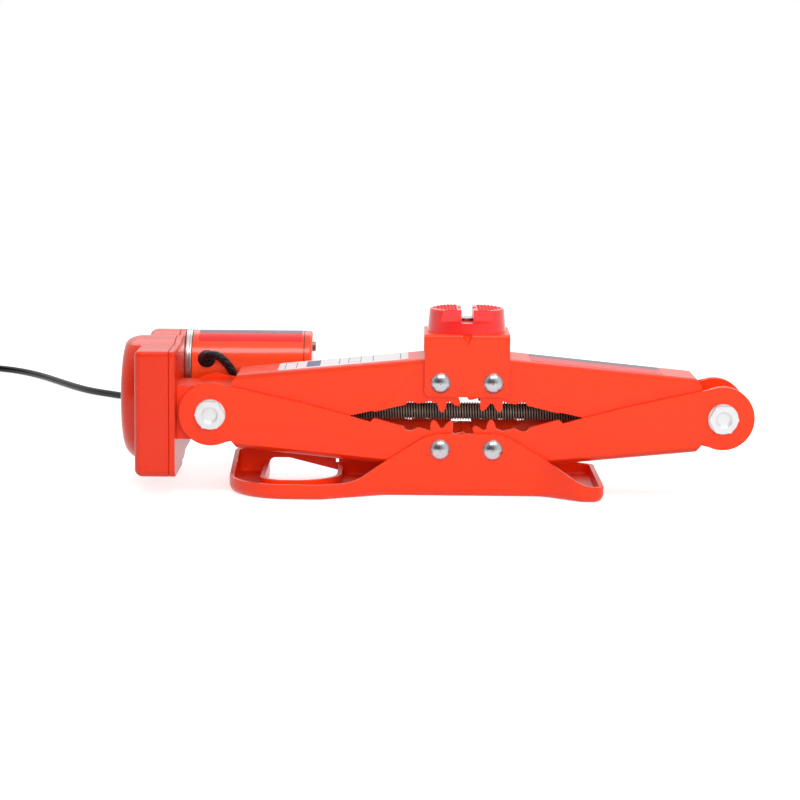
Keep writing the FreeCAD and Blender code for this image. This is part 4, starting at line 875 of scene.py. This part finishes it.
def studio_white(name, diffuse, glow):
    """Pale card: it takes shadows, and a little of it shines for the eye and for reflections."""
    material = bpy.data.materials.new(name)
    material.use_nodes = True
    tree = material.node_tree
    tree.nodes.clear()
    path = add(tree, "ShaderNodeLightPath")
    seen = add(tree, "ShaderNodeMath", {0: path.outputs["Is Camera Ray"], 1: path.outputs["Is Glossy Ray"]},
               operation="MAXIMUM")
    strength = add(tree, "ShaderNodeMath", {0: seen.outputs["Value"], 1: glow}, operation="MULTIPLY")
    card = add(tree, "ShaderNodeBsdfDiffuse", {"Color": [diffuse, diffuse, diffuse, 1.0]})
    shine = add(tree, "ShaderNodeEmission", {"Strength": strength.outputs["Value"]})
    both = add(tree, "ShaderNodeAddShader", {0: card.outputs["BSDF"], 1: shine.outputs["Emission"]})
    add(tree, "ShaderNodeOutputMaterial", {"Surface": both.outputs["Shader"]})
    return material


FLOOR_SIZE = 30.0
FLOOR_CARD = 0.7
FLOOR_GLOW = 0.72


def floor():
    """A wide card under the jack, in metres."""
    bm = bmesh.new()
    bmesh.ops.create_grid(bm, x_segments=1, y_segments=1, size=FLOOR_SIZE)
    mesh = bpy.data.meshes.new("floor")
    bm.to_mesh(mesh)
    bm.free()
    card = bpy.data.objects.new("floor", mesh)
    bpy.context.scene.collection.objects.link(card)
    card.data.materials.append(studio_white("floor_card", FLOOR_CARD, FLOOR_GLOW))


floor()

WORLD_LIGHT = 0.4
CAMERA_SIDE = 0.08
DARK_WALL = (-0.42, -0.9, 0.1)

world = bpy.data.worlds.new("studio")
bpy.context.scene.world = world
world.use_nodes = True
sky = world.node_tree
sky.nodes.clear()
ray = add(sky, "ShaderNodeLightPath")
# Polished metal sees a white room with a darker wall on the camera's side, more to the left
outwards = add(sky, "ShaderNodeTexCoord").outputs["Generated"]
facing = add(sky, "ShaderNodeVectorMath", {0: outwards, 1: DARK_WALL}, operation="DOT_PRODUCT")
walls = add(sky, "ShaderNodeMapRange", {"Value": facing.outputs["Value"], "From Min": 0.3, "From Max": 0.9,
                                        "To Min": 1.0, "To Max": CAMERA_SIDE})
room = add(sky, "ShaderNodeMapRange", {"Value": ray.outputs["Is Glossy Ray"], "To Min": WORLD_LIGHT,
                                       "To Max": walls.outputs["Result"]})
level = add(sky, "ShaderNodeMapRange", {"Value": ray.outputs["Is Camera Ray"],
                                        "To Min": room.outputs["Result"], "To Max": 1.0})
white = add(sky, "ShaderNodeBackground", {"Color": [1.0, 1.0, 1.0, 1.0], "Strength": level.outputs["Result"]})
add(sky, "ShaderNodeOutputWorld", {"Surface": white.outputs["Background"]})


def softbox(name, place, aim, size, power):
    """A soft lamp, placed in metres, that looks at its aim."""
    lamp = bpy.data.lights.new(name, "AREA")
    lamp.shape = "RECTANGLE"
    lamp.size, lamp.size_y = size
    lamp.energy = power
    item = bpy.data.objects.new(name, lamp)
    bpy.context.scene.collection.objects.link(item)
    item.location = place
    item.rotation_euler = (Vector(aim) - Vector(place)).to_track_quat("-Z", "Y").to_euler()
    return item


# The front lamp stays out of reflections, so that the paint keeps its colour
front = softbox("front_softbox", place=(0.35, -2.0, 0.6), aim=(0, 0, 0.05), size=(1.6, 0.7), power=25.0)
front.visible_glossy = False
softbox("top_softbox", place=(0.1, -0.55, 1.45), aim=(-0.05, 0, 0.05), size=(1.2, 0.35), power=9.0)
softbox("back_softbox", place=(0.0, 1.4, 1.2), aim=(0, 0, 0.05), size=(1.6, 0.8), power=6.0)
